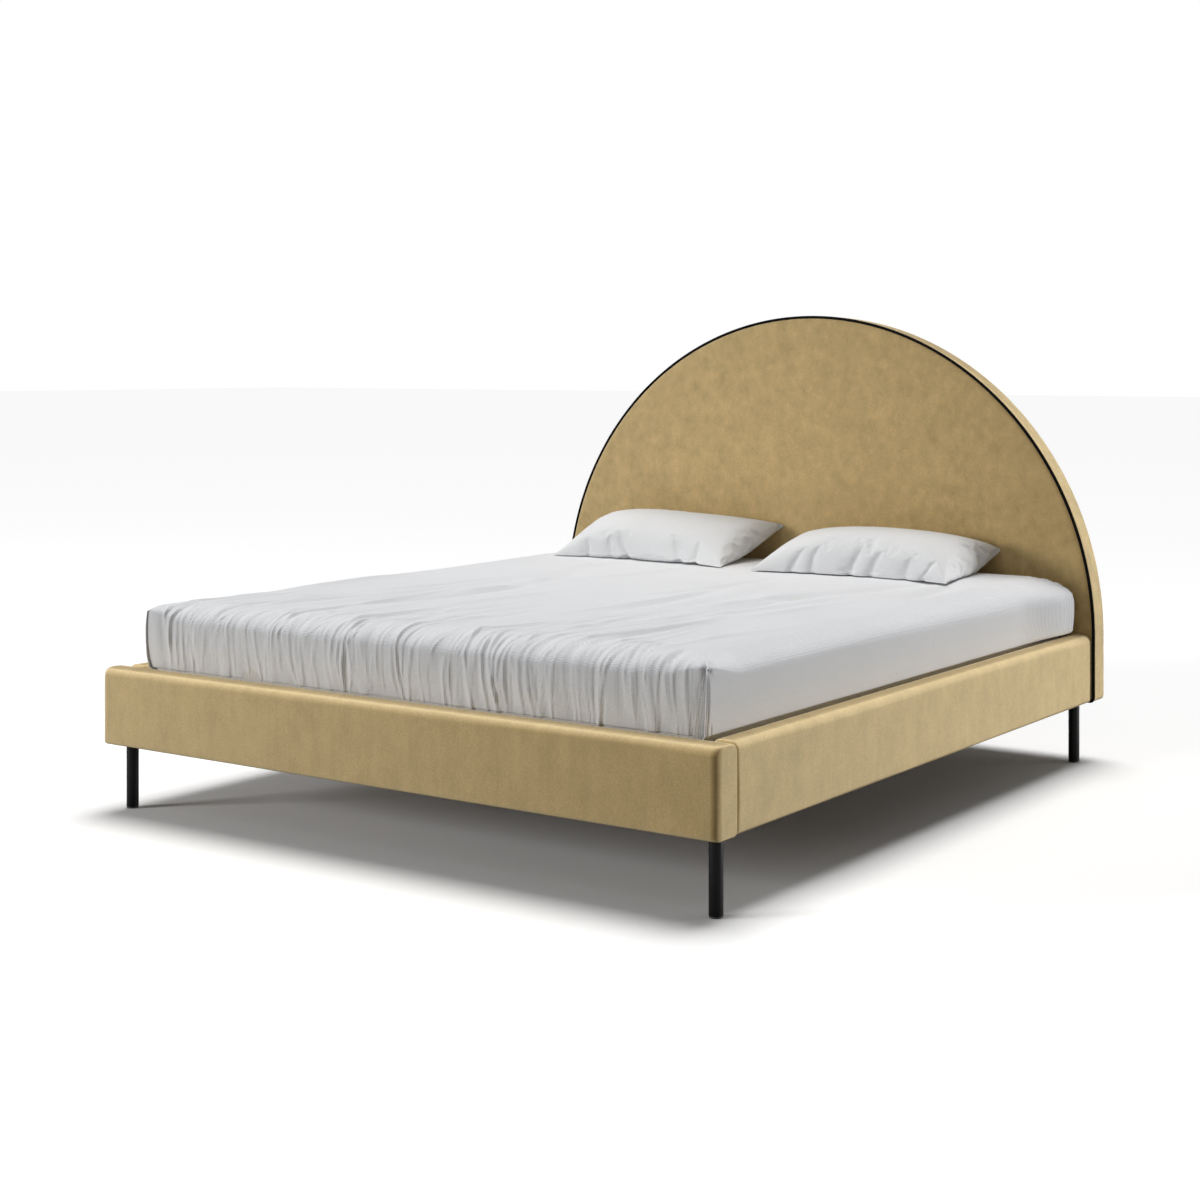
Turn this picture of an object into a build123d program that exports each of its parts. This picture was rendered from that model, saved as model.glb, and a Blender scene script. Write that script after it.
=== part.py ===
from build123d import *
import os

os.makedirs("parts", exist_ok=True)

# The bed stands on the floor at Z 0, its foot towards -Y, its headboard towards +Y.
# X 0 is the middle of its width, and Y 0 the middle of its length.

# The space between the padded rails and the headboard
well_width = 1762
well_length = 2019

# Upholstered rails
rail_lift = 175
rail_height = 195
side_rail_thickness = 69
foot_rail_thickness = 85
rail_top_radius = 16
rail_foot_radius = 10
side_rail_end_radius = 7
foot_rail_end_radius = 9.5
side_core_thickness = 40
foot_core_thickness = 50
side_inner_wadding = 6
foot_inner_wadding = 4
rail_end_wadding = 9
rail_foot_wadding = 2
rail_top_foam = 12

# Cloths and the slack between layers
velvet = 1.5
end_fold = 5
backing_cloth = 1
slack = 0.2
rest_gap = 0.3

# Headboard
headboard_thickness = 86
headboard_overhang = 10
headboard_upright = 195
headboard_corner_radius = 14
headboard_back_bevel = 8
front_foam = 20
band_foam_thickness = 10
front_board_thickness = 12
back_board_thickness = 6
back_wadding_thickness = 5
back_margin = 45
piping_radius = 3.75
piping_proud = 1.75
piping_sides = 6
rim_width = 70
foot_member_height = 130
upright_width = 60
upright_pitch = 430
rim_blocks = 6
glue_line = 0.2

# Legs
leg_radius = 16
leg_inset_from_side = 41
front_leg_inset = 67
rear_leg_inset = 27
glide_height = 4
glide_radius = 15.5

# Slatted base
deck_height = 298
ledge_width = 26
ledge_depth = 36
ledge_setback = 75
beam_width = 46
beam_depth = 70
slat_count = 14
slat_width = 68
slat_thickness = 8
slat_camber = 8
slat_grip = 18
holder_length = 80
holder_floor = 4
holder_wall = 4
holder_play = 1.4
hanger_plate = 3
hanger_reach = 45
hanger_ear = 28
hanger_height = 60
centre_leg_places = (-380, 420)

# Corner brackets
bracket_flange = 60
bracket_plate = 4
bracket_height = 66
bracket_foot = 188

# Mattress and sheet
mattress_side_gap = 2.5
mattress_head_gap = 5
mattress_thickness = 229
mattress_corner_radius = 60
mattress_shoulder = 28
comfort_bevel = 22
sheet = 1
comfort_layer = 32
sheet_tuck = 170

# Pillows
pillow_length = 652
pillow_loft = 76
pillow_shoulder = 60
pillow_waist = 7
pillow_seam = 10
pillowcase = 1.2
pillow_head_gap = 0.6
left_pillow_x = -410
left_pillow_depth = 402
left_pillow_rise = 102
right_pillow_x = 360
right_pillow_depth = 428
right_pillow_rise = 74

# How far the crown of a pillow reaches from its middle, as shares of half its span
side_crown_share = 0.62
front_crown_share = 0.42
rear_crown_share = 0.74

# Lines that the pieces share
well_middle_y = (foot_rail_thickness - headboard_thickness) / 2
foot_face_y = well_middle_y - well_length / 2
headboard_front_y = well_middle_y + well_length / 2
headboard_back_y = headboard_front_y + headboard_thickness
foot_front_y = foot_face_y - foot_rail_thickness
side_face_x = well_width / 2
outer_x = side_face_x + side_rail_thickness
rail_top = rail_lift + rail_height
headboard_half_width = outer_x + headboard_overhang
headboard_spring = rail_lift + headboard_upright
frame_inset = velvet + band_foam_thickness
ends = ((foot_face_y, 1), (headboard_front_y, -1))


def drawn_in_bevel(leg, inset):
    """The leg of a bevel after the two faces it joins, and its own, are drawn in by an inset."""
    return leg - inset * (2 - 2**0.5)


def upright_plane(y):
    """The upright plane at a depth, drawn on from the foot of the bed, with X across and Z up."""
    return Plane.XZ.offset(-y)


def arch_slab(inset, near_y, far_y):
    """A slab of the headboard's outline drawn in by an inset: level foot, straight sides, half round."""
    half_width = headboard_half_width - inset
    foot = rail_lift + inset
    with BuildPart() as slab:
        with BuildSketch(upright_plane(far_y)):
            with BuildLine():
                Polyline(
                    (-half_width, headboard_spring),
                    (-half_width, foot),
                    (half_width, foot),
                    (half_width, headboard_spring),
                )
                CenterArc((0, headboard_spring), half_width, 0, 180)
            make_face()
            if inset < frame_inset:
                fillet(vertices().group_by(Axis.Y)[0], headboard_corner_radius - inset)
        extrude(amount=far_y - near_y)
    return slab.part


def rod(x, y, foot, radius, height):
    """A round upright rod on its foot."""
    with BuildPart() as piece:
        with BuildSketch(Plane.XY.offset(foot)):
            with Locations((x, y)):
                Circle(radius)
        extrude(amount=height)
    return piece.part


def padded_bar(end_plane, middle, thickness, length, inset, end_inset):
    """A rail's padded profile drawn in by an inset and run out between its two ends."""
    with BuildPart() as bar:
        with BuildSketch(end_plane.offset(end_inset)):
            with Locations((middle, rail_lift + rail_height / 2)):
                Rectangle(thickness - 2 * inset, rail_height - 2 * inset)
            fillet(vertices().group_by(Axis.Y)[-1], rail_top_radius - inset)
            fillet(vertices().group_by(Axis.Y)[0], rail_foot_radius - inset)
        extrude(amount=length - 2 * end_inset)
    return bar.part


def rail_plan(x_span, y_span, radius):
    """A block as high as the rails with rounded upright edges, to which a padded bar is trimmed."""
    with BuildPart() as piece:
        with BuildSketch(Plane.XY.offset(rail_lift)):
            with Locations((sum(x_span) / 2, sum(y_span) / 2)):
                RectangleRounded(x_span[1] - x_span[0], y_span[1] - y_span[0], radius)
        extrude(amount=rail_height)
    return piece.part


def block(x_span, y_span, z_span):
    """A plain block between two places along each axis."""
    with BuildPart() as piece:
        with BuildSketch(Plane.XY.offset(z_span[0])):
            with Locations(((x_span[0] + x_span[1]) / 2, (y_span[0] + y_span[1]) / 2)):
                Rectangle(x_span[1] - x_span[0], y_span[1] - y_span[0])
        extrude(amount=z_span[1] - z_span[0])
    return piece.part


def foot_rail_bar(inset, end_inset):
    """The foot rail runs the bed's full width."""
    middle = foot_front_y + foot_rail_thickness / 2
    plane = Plane.YZ.offset(-outer_x)
    return padded_bar(plane, middle, foot_rail_thickness, 2 * outer_x, inset, end_inset)


def side_rail_bar(side, inset, end_inset):
    """A side rail runs from the foot rail to the headboard."""
    middle = side * (side_face_x + side_rail_thickness / 2)
    plane = upright_plane(headboard_front_y)
    return padded_bar(plane, middle, side_rail_thickness, well_length, inset, end_inset)


core_foot = rail_lift + velvet + rail_foot_wadding
core_top = rail_top - velvet - rail_top_foam
foot_core_far_y = foot_face_y - velvet - foot_inner_wadding
foot_core_x = outer_x - velvet - rail_end_wadding
side_core_near_x = side_face_x + velvet + side_inner_wadding
side_core_far_x = side_core_near_x + side_core_thickness
side_core_ends = (
    foot_face_y + velvet + rail_end_wadding,
    headboard_front_y - velvet - rail_end_wadding,
)


def side_core_block(side):
    """The outline of a side rail's core."""
    x_span = sorted((side * side_core_near_x, side * side_core_far_x))
    return block(x_span, side_core_ends, (core_foot, core_top))


foot_core_block = block(
    (-foot_core_x, foot_core_x),
    (foot_core_far_y - foot_core_thickness, foot_core_far_y),
    (core_foot, core_top),
)

# Foot rail: timber core, foam and wadding, velvet cover folded double at its ends
with BuildPart() as foot_rail_core:
    add(foot_core_block)
foot_rail_core.part.label = "foot_rail_core"
export_step(foot_rail_core.part, "parts/foot_rail_core.step")

with BuildPart() as foot_rail_foam:
    add(foot_rail_bar(velvet + slack, end_fold + slack))
    add(foot_core_block, mode=Mode.SUBTRACT)
foot_rail_foam.part.label = "foot_rail_foam"
export_step(foot_rail_foam.part, "parts/foot_rail_foam.step")

with BuildPart() as foot_rail_cover:
    add(foot_rail_bar(0, 0))
    add(
        rail_plan((-outer_x, outer_x), (foot_front_y, foot_face_y), foot_rail_end_radius),
        mode=Mode.INTERSECT,
    )
    add(foot_rail_bar(velvet, end_fold), mode=Mode.SUBTRACT)
foot_rail_cover.part.label = "foot_rail_cover"
export_step(foot_rail_cover.part, "parts/foot_rail_cover.step")

# Side rails, made the same way
for name, side in (("left", -1), ("right", 1)):
    with BuildPart() as side_rail_core:
        add(side_core_block(side))
    side_rail_core.part.label = name + "_rail_core"
    export_step(side_rail_core.part, "parts/" + name + "_rail_core.step")

    with BuildPart() as side_rail_foam:
        add(side_rail_bar(side, velvet + slack, end_fold + slack))
        add(side_core_block(side), mode=Mode.SUBTRACT)
    side_rail_foam.part.label = name + "_rail_foam"
    export_step(side_rail_foam.part, "parts/" + name + "_rail_foam.step")

    with BuildPart() as side_rail_cover:
        add(side_rail_bar(side, 0, 0))
        rail_x_span = sorted((side * side_face_x, side * outer_x))
        add(
            rail_plan(rail_x_span, (foot_face_y, headboard_front_y), side_rail_end_radius),
            mode=Mode.INTERSECT,
        )
        add(side_rail_bar(side, velvet, end_fold), mode=Mode.SUBTRACT)
    side_rail_cover.part.label = name + "_rail_cover"
    export_step(side_rail_cover.part, "parts/" + name + "_rail_cover.step")

# Headboard layers from front to back
foam_front_y = headboard_front_y + velvet
board_front_y = foam_front_y + front_foam
frame_front_y = board_front_y + front_board_thickness
wadding_back_y = headboard_back_y - velvet
board_back_y = wadding_back_y - back_wadding_thickness
frame_back_y = board_back_y - back_board_thickness
piping_centre_inset = piping_radius - piping_proud
piping_centre_y = headboard_front_y + piping_radius
piping_seam_inset = piping_centre_inset + piping_radius + slack
piping_seam_y = piping_centre_y + piping_radius + slack

with BuildPart() as headboard_front_cover:
    add(arch_slab(piping_seam_inset, headboard_front_y, foam_front_y))
headboard_front_cover.part.label = "headboard_front_cover"
export_step(headboard_front_cover.part, "parts/headboard_front_cover.step")

with BuildPart() as headboard_front_foam:
    add(arch_slab(frame_inset, foam_front_y, board_front_y))
headboard_front_foam.part.label = "headboard_front_foam"
export_step(headboard_front_foam.part, "parts/headboard_front_foam.step")

with BuildPart() as headboard_front_board:
    add(arch_slab(frame_inset, board_front_y, frame_front_y))
headboard_front_board.part.label = "headboard_front_board"
export_step(headboard_front_board.part, "parts/headboard_front_board.step")

with BuildPart() as headboard_back_board:
    add(arch_slab(frame_inset, frame_back_y, board_back_y))
headboard_back_board.part.label = "headboard_back_board"
export_step(headboard_back_board.part, "parts/headboard_back_board.step")

with BuildPart() as headboard_back_wadding:
    add(arch_slab(frame_inset, board_back_y, wadding_back_y))
headboard_back_wadding.part.label = "headboard_back_wadding"
export_step(headboard_back_wadding.part, "parts/headboard_back_wadding.step")

with BuildPart() as headboard_backing:
    add(arch_slab(back_margin + slack, headboard_back_y - backing_cloth, headboard_back_y))
headboard_backing.part.label = "headboard_backing"
export_step(headboard_backing.part, "parts/headboard_backing.step")


def band_bulk(inset):
    """The headboard behind the piping, its back edge broken, drawn in by an inset."""
    with BuildPart() as bulk:
        add(arch_slab(inset, piping_seam_y, headboard_back_y - inset))
        bevel = drawn_in_bevel(headboard_back_bevel, inset)
        chamfer(bulk.faces().sort_by(Axis.Y)[-1].edges(), bevel)
    return bulk.part


# The band of velvet round the edge, turned over onto the back
with BuildPart() as headboard_band_cover:
    add(band_bulk(0))
    add(band_bulk(velvet), mode=Mode.SUBTRACT)
    add(arch_slab(back_margin, wadding_back_y - velvet, headboard_back_y + velvet), mode=Mode.SUBTRACT)
headboard_band_cover.part.label = "headboard_band_cover"
export_step(headboard_band_cover.part, "parts/headboard_band_cover.step")

with BuildPart() as headboard_band_foam:
    add(band_bulk(velvet + slack))
    add(arch_slab(frame_inset, foam_front_y, headboard_back_y), mode=Mode.SUBTRACT)
headboard_band_foam.part.label = "headboard_band_foam"
export_step(headboard_band_foam.part, "parts/headboard_band_foam.step")

# The black piping runs in the seam round the whole front edge, its ends butted under the foot
with BuildPart() as headboard_piping:
    with BuildLine(upright_plane(piping_centre_y)) as piping_run:
        piping_x = headboard_half_width - piping_centre_inset
        piping_z = rail_lift + piping_centre_inset
        piping_corner = headboard_corner_radius - piping_centre_inset
        FilletPolyline(
            (slack / 2, piping_z),
            (piping_x, piping_z),
            (piping_x, headboard_spring),
            radius=piping_corner,
        )
        CenterArc((0, headboard_spring), piping_x, 0, 180)
        FilletPolyline(
            (-piping_x, headboard_spring),
            (-piping_x, piping_z),
            (-slack / 2, piping_z),
            radius=piping_corner,
        )
    with BuildSketch(Plane(origin=(slack / 2, piping_centre_y, piping_z), z_dir=(1, 0, 0))):
        RegularPolygon(piping_radius, piping_sides)
    sweep()
headboard_piping.part.label = "headboard_piping"
export_step(headboard_piping.part, "parts/headboard_piping.step")

# Headboard frame: a foot member between two posts, an arched rim of glued blocks, three uprights
rim_outer = headboard_half_width - frame_inset
rim_inner = rim_outer - rim_width
frame_foot = rail_lift + frame_inset
foot_member_top = frame_foot + foot_member_height

with BuildPart() as headboard_posts:
    for side in (-1, 1):
        x_span = sorted((side * rim_inner, side * rim_outer))
        add(block(x_span, (frame_front_y, frame_back_y), (frame_foot, headboard_spring - glue_line)))
headboard_posts.part.label = "headboard_posts"
export_step(headboard_posts.part, "parts/headboard_posts.step")

with BuildPart() as headboard_foot_member:
    member_x = rim_inner - glue_line
    add(block((-member_x, member_x), (frame_front_y, frame_back_y), (frame_foot, foot_member_top)))
headboard_foot_member.part.label = "headboard_foot_member"
export_step(headboard_foot_member.part, "parts/headboard_foot_member.step")

with BuildPart() as headboard_rim:
    block_turn = 180 / rim_blocks
    for index in range(rim_blocks):
        with BuildSketch(upright_plane(frame_back_y)):
            with BuildLine():
                first = index * block_turn
                outer_arc = CenterArc((0, headboard_spring), rim_outer, first, block_turn)
                inner_arc = CenterArc((0, headboard_spring), rim_inner, first, block_turn)
                Line(outer_arc @ 0, inner_arc @ 0)
                Line(outer_arc @ 1, inner_arc @ 1)
            make_face()
    extrude(amount=frame_back_y - frame_front_y)
    for index in range(1, rim_blocks):
        with BuildSketch(upright_plane(frame_back_y)):
            with Locations((0, headboard_spring)):
                Rectangle(
                    rim_outer + rim_width,
                    glue_line,
                    rotation=index * block_turn,
                    align=(Align.MIN, Align.CENTER),
                )
        extrude(amount=frame_back_y - frame_front_y, mode=Mode.SUBTRACT)
headboard_rim.part.label = "headboard_rim"
export_step(headboard_rim.part, "parts/headboard_rim.step")

with BuildPart() as headboard_uprights:
    with BuildSketch(upright_plane(frame_back_y)):
        with GridLocations(upright_pitch, 0, 3, 1):
            with Locations((0, foot_member_top + glue_line)):
                Rectangle(upright_width, headboard_half_width, align=(Align.CENTER, Align.MIN))
        with Locations((0, headboard_spring)):
            Circle(rim_inner - glue_line, mode=Mode.INTERSECT)
    extrude(amount=frame_back_y - frame_front_y)
headboard_uprights.part.label = "headboard_uprights"
export_step(headboard_uprights.part, "parts/headboard_uprights.step")

# Corner brackets: steel angles inside the well, which join the rails and the headboard
with BuildPart() as corner_brackets:
    for end_y, inward in ends:
        for side in (-1, 1):
            wall_x = side * side_face_x
            flange_x = wall_x - side * bracket_flange
            plate_x = wall_x - side * bracket_plate
            flange_y = end_y + inward * bracket_flange
            plate_y = end_y + inward * bracket_plate
            with BuildSketch(Plane.XY.offset(bracket_foot)):
                with BuildLine():
                    Polyline(
                        (wall_x, end_y),
                        (wall_x, flange_y),
                        (plate_x, flange_y),
                        (plate_x, plate_y),
                        (flange_x, plate_y),
                        (flange_x, end_y),
                        close=True,
                    )
                make_face()
            extrude(amount=bracket_height)
corner_brackets.part.label = "corner_brackets"
export_step(corner_brackets.part, "parts/corner_brackets.step")

# Legs: closed steel tubes on flat glides, four under the rails and two under the centre beam
leg_x = outer_x - leg_inset_from_side
leg_ys = (foot_front_y + front_leg_inset, headboard_front_y - rear_leg_inset)
leg_places = [(side * leg_x, y) for y in leg_ys for side in (-1, 1)]
leg_names = ("front_left", "front_right", "rear_left", "rear_right")
for name, (x, y) in zip(leg_names, leg_places):
    with BuildPart() as leg:
        add(rod(x, y, glide_height, leg_radius, rail_lift - glide_height))
    leg.part.label = "leg_" + name
    export_step(leg.part, "parts/leg_" + name + ".step")

beam_foot = deck_height - beam_depth
with BuildPart() as centre_legs:
    for y in centre_leg_places:
        add(rod(0, y, glide_height, leg_radius, beam_foot - glide_height))
centre_legs.part.label = "centre_legs"
export_step(centre_legs.part, "parts/centre_legs.step")

with BuildPart() as leg_glides:
    for x, y in leg_places + [(0, y) for y in centre_leg_places]:
        add(rod(x, y, 0, glide_radius, glide_height))
leg_glides.part.label = "leg_glides"
export_step(leg_glides.part, "parts/leg_glides.step")

# Slatted base: ledges, centre beam and its hangers
ledge_length = well_length - 2 * ledge_setback
for name, side in (("left", -1), ("right", 1)):
    with BuildPart() as ledge:
        x_span = sorted((side * side_face_x, side * (side_face_x - ledge_width)))
        y_span = (well_middle_y - ledge_length / 2, well_middle_y + ledge_length / 2)
        add(block(x_span, y_span, (deck_height - ledge_depth, deck_height)))
        ledge.part.label = name + "_ledge"
    export_step(ledge.part, "parts/" + name + "_ledge.step")

beam_ends = (
    foot_face_y + hanger_plate + slack,
    headboard_front_y - hanger_plate - slack,
)
with BuildPart() as centre_beam:
    add(block((-beam_width / 2, beam_width / 2), beam_ends, (beam_foot, deck_height)))
centre_beam.part.label = "centre_beam"
export_step(centre_beam.part, "parts/centre_beam.step")

hanger_half_width = beam_width / 2 + hanger_plate + slack
with BuildPart() as beam_hangers:
    for end_y, inward in ends:
        ear_x = hanger_half_width + hanger_ear
        plate_span = sorted((end_y, end_y + inward * hanger_plate))
        cradle_span = sorted((end_y + inward * hanger_plate, end_y + inward * hanger_reach))
        cradle_top = deck_height - hanger_plate
        cradle_foot = beam_foot - slack - hanger_plate
        add(block((-ear_x, ear_x), plate_span, (deck_height - hanger_height, deck_height)))
        add(block((-hanger_half_width, hanger_half_width), plate_span, (cradle_foot, deck_height)))
        add(block((-hanger_half_width, hanger_half_width), cradle_span, (cradle_foot, cradle_top)))
        seat_x = beam_width / 2 + slack
        seat = block((-seat_x, seat_x), cradle_span, (beam_foot - slack, deck_height))
        add(seat, mode=Mode.SUBTRACT)
beam_hangers.part.label = "beam_hangers"
export_step(beam_hangers.part, "parts/beam_hangers.step")

# Slats and their holders
slat_pitch = well_length / slat_count
slat_ys = [well_middle_y + (index - (slat_count - 1) / 2) * slat_pitch for index in range(slat_count)]
slat_foot = deck_height + holder_floor
slat_head = slat_foot + slat_thickness
pocket_height = slat_thickness + holder_play
holder_span = (deck_height, slat_foot + pocket_height + holder_wall)
holder_depth = slat_grip + holder_wall
slat_near_x = holder_wall / 2 + slack
slat_far_x = side_face_x - holder_wall - slack
centre_holder_x = holder_wall / 2 + slat_grip


def slats(side):
    """One row of sprung slats, each a bowed lath, on the left or the right of the beam."""
    with BuildPart() as row:
        for y in slat_ys:
            near_x = side * slat_near_x
            far_x = side * slat_far_x
            mid_x = (near_x + far_x) / 2
            with BuildSketch(upright_plane(y + slat_width / 2)):
                with BuildLine():
                    under = ThreePointArc(
                        (near_x, slat_foot),
                        (mid_x, slat_foot + slat_camber),
                        (far_x, slat_foot),
                    )
                    over = ThreePointArc(
                        (near_x, slat_head),
                        (mid_x, slat_head + slat_camber),
                        (far_x, slat_head),
                    )
                    Line(under @ 0, over @ 0)
                    Line(under @ 1, over @ 1)
                make_face()
            extrude(amount=slat_width)
    return row.part


def pocket(x_near, x_far, y):
    """The pocket that takes a slat's end."""
    x_span = sorted((x_near, x_far))
    half = slat_width / 2 + slack
    return block(x_span, (y - half, y + half), (slat_foot, slat_foot + pocket_height))


for name, side in (("left", -1), ("right", 1)):
    with BuildPart() as slat_row:
        add(slats(side))
    slat_row.part.label = name + "_slats"
    export_step(slat_row.part, "parts/" + name + "_slats.step")

    with BuildPart() as side_holders:
        for y in slat_ys:
            wall_x = side * side_face_x
            mouth_x = side * (side_face_x - holder_depth)
            y_span = (y - holder_length / 2, y + holder_length / 2)
            add(block(sorted((wall_x, mouth_x)), y_span, holder_span))
            add(pocket(wall_x - side * holder_wall, mouth_x, y), mode=Mode.SUBTRACT)
    side_holders.part.label = name + "_slat_holders"
    export_step(side_holders.part, "parts/" + name + "_slat_holders.step")

with BuildPart() as centre_holders:
    for y in slat_ys:
        y_span = (y - holder_length / 2, y + holder_length / 2)
        add(block((-centre_holder_x, centre_holder_x), y_span, holder_span))
        for side in (-1, 1):
            add(pocket(side * holder_wall / 2, side * centre_holder_x, y), mode=Mode.SUBTRACT)
centre_holders.part.label = "centre_slat_holders"
export_step(centre_holders.part, "parts/centre_slat_holders.step")

# Mattress
mattress_foot = slat_foot + slat_thickness + slat_camber + rest_gap
mattress_top = mattress_foot + mattress_thickness
mattress_half_width = side_face_x - mattress_side_gap
mattress_near_y = foot_face_y + mattress_side_gap
mattress_far_y = headboard_front_y - mattress_head_gap
mattress_middle_y = (mattress_near_y + mattress_far_y) / 2


def mattress_bulk(inset):
    """The dressed mattress drawn in by an inset, before its top edge is softened."""
    with BuildPart() as bulk:
        with BuildSketch(Plane.XY.offset(mattress_foot + inset)):
            with Locations((0, mattress_middle_y)):
                RectangleRounded(
                    2 * (mattress_half_width - inset),
                    mattress_far_y - mattress_near_y - 2 * inset,
                    mattress_corner_radius - inset,
                )
        extrude(amount=mattress_thickness - 2 * inset)
    return bulk.part


def comfort_form(inset):
    """The mattress's comfort layers under the sheet: the same bulk with a bevelled top edge."""
    with BuildPart() as form:
        add(mattress_bulk(inset))
        bevel = drawn_in_bevel(comfort_bevel, inset)
        chamfer(form.faces().sort_by(Axis.Z)[-1].edges(), bevel)
    return form.part


def spring_unit(inset):
    """The plain block inside the mattress's comfort layers, drawn in by an inset."""
    return block(
        (inset - mattress_half_width, mattress_half_width - inset),
        (mattress_near_y + inset, mattress_far_y - inset),
        (mattress_foot + inset, mattress_top - inset),
    )


with BuildPart() as mattress_core:
    add(spring_unit(sheet + slack + comfort_layer + slack))
mattress_core.part.label = "mattress_core"
export_step(mattress_core.part, "parts/mattress_core.step")

with BuildPart() as mattress_ticking:
    add(comfort_form(sheet + slack))
    add(spring_unit(sheet + slack + comfort_layer), mode=Mode.SUBTRACT)
mattress_ticking.part.label = "mattress_ticking"
export_step(mattress_ticking.part, "parts/mattress_ticking.step")

with BuildPart() as fitted_sheet:
    add(mattress_bulk(0))
    fillet(fitted_sheet.faces().sort_by(Axis.Z)[-1].edges(), mattress_shoulder)
    add(comfort_form(sheet), mode=Mode.SUBTRACT)
    with BuildSketch(Plane.XY.offset(mattress_foot)):
        with Locations((0, mattress_middle_y)):
            RectangleRounded(
                2 * (mattress_half_width - sheet_tuck),
                mattress_far_y - mattress_near_y - 2 * sheet_tuck,
                mattress_corner_radius,
            )
    extrude(amount=sheet, mode=Mode.SUBTRACT)
fitted_sheet.part.label = "fitted_sheet"
export_step(fitted_sheet.part, "parts/fitted_sheet.step")

# Pillows
left_pillow = (left_pillow_x, left_pillow_depth, left_pillow_rise)
right_pillow = (right_pillow_x, right_pillow_depth, right_pillow_rise)


def crowned_outline(half_span, near_crown, far_crown, inset):
    """Draws a pillow's section: a flat crown that turns down to a seam at each end, alike below."""
    loft = pillow_loft - inset
    shoulder = pillow_shoulder - inset
    crown = ThreePointArc((-near_crown, shoulder), (0, loft), (far_crown, shoulder))
    TangentArc((far_crown, shoulder), (half_span, 0), tangent=crown % 1)
    TangentArc((-near_crown, shoulder), (-half_span, 0), tangent=-(crown % 0))
    mirror(about=Plane.XZ)


def pillow_centre(pillow):
    """The middle of a pillow that leans on the headboard."""
    middle_x, depth, rise = pillow
    middle_y = headboard_front_y - pillow_head_gap - depth / 2
    return (middle_x, middle_y, mattress_top + rest_gap + rise / 2)


def pillow_bulk(pillow, inset, seam_inset):
    """A pillow drawn in by an inset, and at its seams by another: two crowned sections crossed on a slope,
    pressed flat by the mattress and the headboard."""
    middle_x, depth, rise = pillow
    centre = pillow_centre(pillow)
    across = Plane(origin=centre, x_dir=(1, 0, 0), z_dir=(0, -depth, -rise))
    along = Plane(origin=centre, x_dir=(0, depth, rise), z_dir=(1, 0, 0))
    half_run = (depth**2 + rise**2) ** 0.5 / 2 - seam_inset
    half_length = pillow_length / 2 - seam_inset
    side_crown = side_crown_share * half_length
    front_crown = front_crown_share * half_run
    rear_crown = rear_crown_share * half_run
    rear_y = headboard_front_y - pillow_head_gap
    rest_z = mattress_top + rest_gap
    with BuildPart() as bulk:
        with BuildSketch(across):
            with BuildLine():
                crowned_outline(half_length, side_crown, side_crown, inset)
            make_face()
        extrude(amount=half_run, both=True)
        with BuildSketch(along):
            with BuildLine():
                crowned_outline(half_run, front_crown, rear_crown, inset)
            make_face()
        extrude(amount=half_length, both=True, mode=Mode.INTERSECT)
        room = block(
            (middle_x - pillow_length, middle_x + pillow_length),
            (rear_y - 2 * depth, rear_y - inset),
            (rest_z + inset, rest_z + pillow_length),
        )
        add(room, mode=Mode.INTERSECT)
    return bulk.part


def waisted_block(pillow):
    """A block on a pillow's slope whose four sides draw in between pointed corners."""
    depth, rise = pillow[1:]
    slope = Plane(origin=pillow_centre(pillow), x_dir=(1, 0, 0), z_dir=(0, -rise, depth))
    half_run = (depth**2 + rise**2) ** 0.5 / 2
    half_length = pillow_length / 2
    with BuildPart() as piece:
        with BuildSketch(slope):
            with BuildLine():
                for side in (-1, 1):
                    ThreePointArc(
                        (side * half_length, -half_run),
                        (side * (half_length - pillow_waist), 0),
                        (side * half_length, half_run),
                    )
                    ThreePointArc(
                        (-half_length, side * half_run),
                        (0, side * (half_run - pillow_waist)),
                        (half_length, side * half_run),
                    )
            make_face()
        extrude(amount=pillow_length, both=True)
    return piece.part


for name, pillow in (("left", left_pillow), ("right", right_pillow)):
    with BuildPart() as pillow_filling:
        add(pillow_bulk(pillow, pillowcase + slack, pillow_seam + slack))
    pillow_filling.part.label = name + "_pillow_filling"
    export_step(pillow_filling.part, "parts/" + name + "_pillow_filling.step")

    with BuildPart() as pillow_case:
        add(pillow_bulk(pillow, 0, 0))
        add(waisted_block(pillow), mode=Mode.INTERSECT)
        add(pillow_bulk(pillow, pillowcase, pillow_seam), mode=Mode.SUBTRACT)
    pillow_case.part.label = name + "_pillowcase"
    export_step(pillow_case.part, "parts/" + name + "_pillowcase.step")
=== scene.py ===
# %% [markdown]
# A velvet bed with a half-round headboard.
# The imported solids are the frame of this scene: they say where everything is and how large it is.
# This script gives them their looks. Each piece is worked out from the boxes of the solids, so
# nothing is fitted by eye, and every length is in metres.

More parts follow.
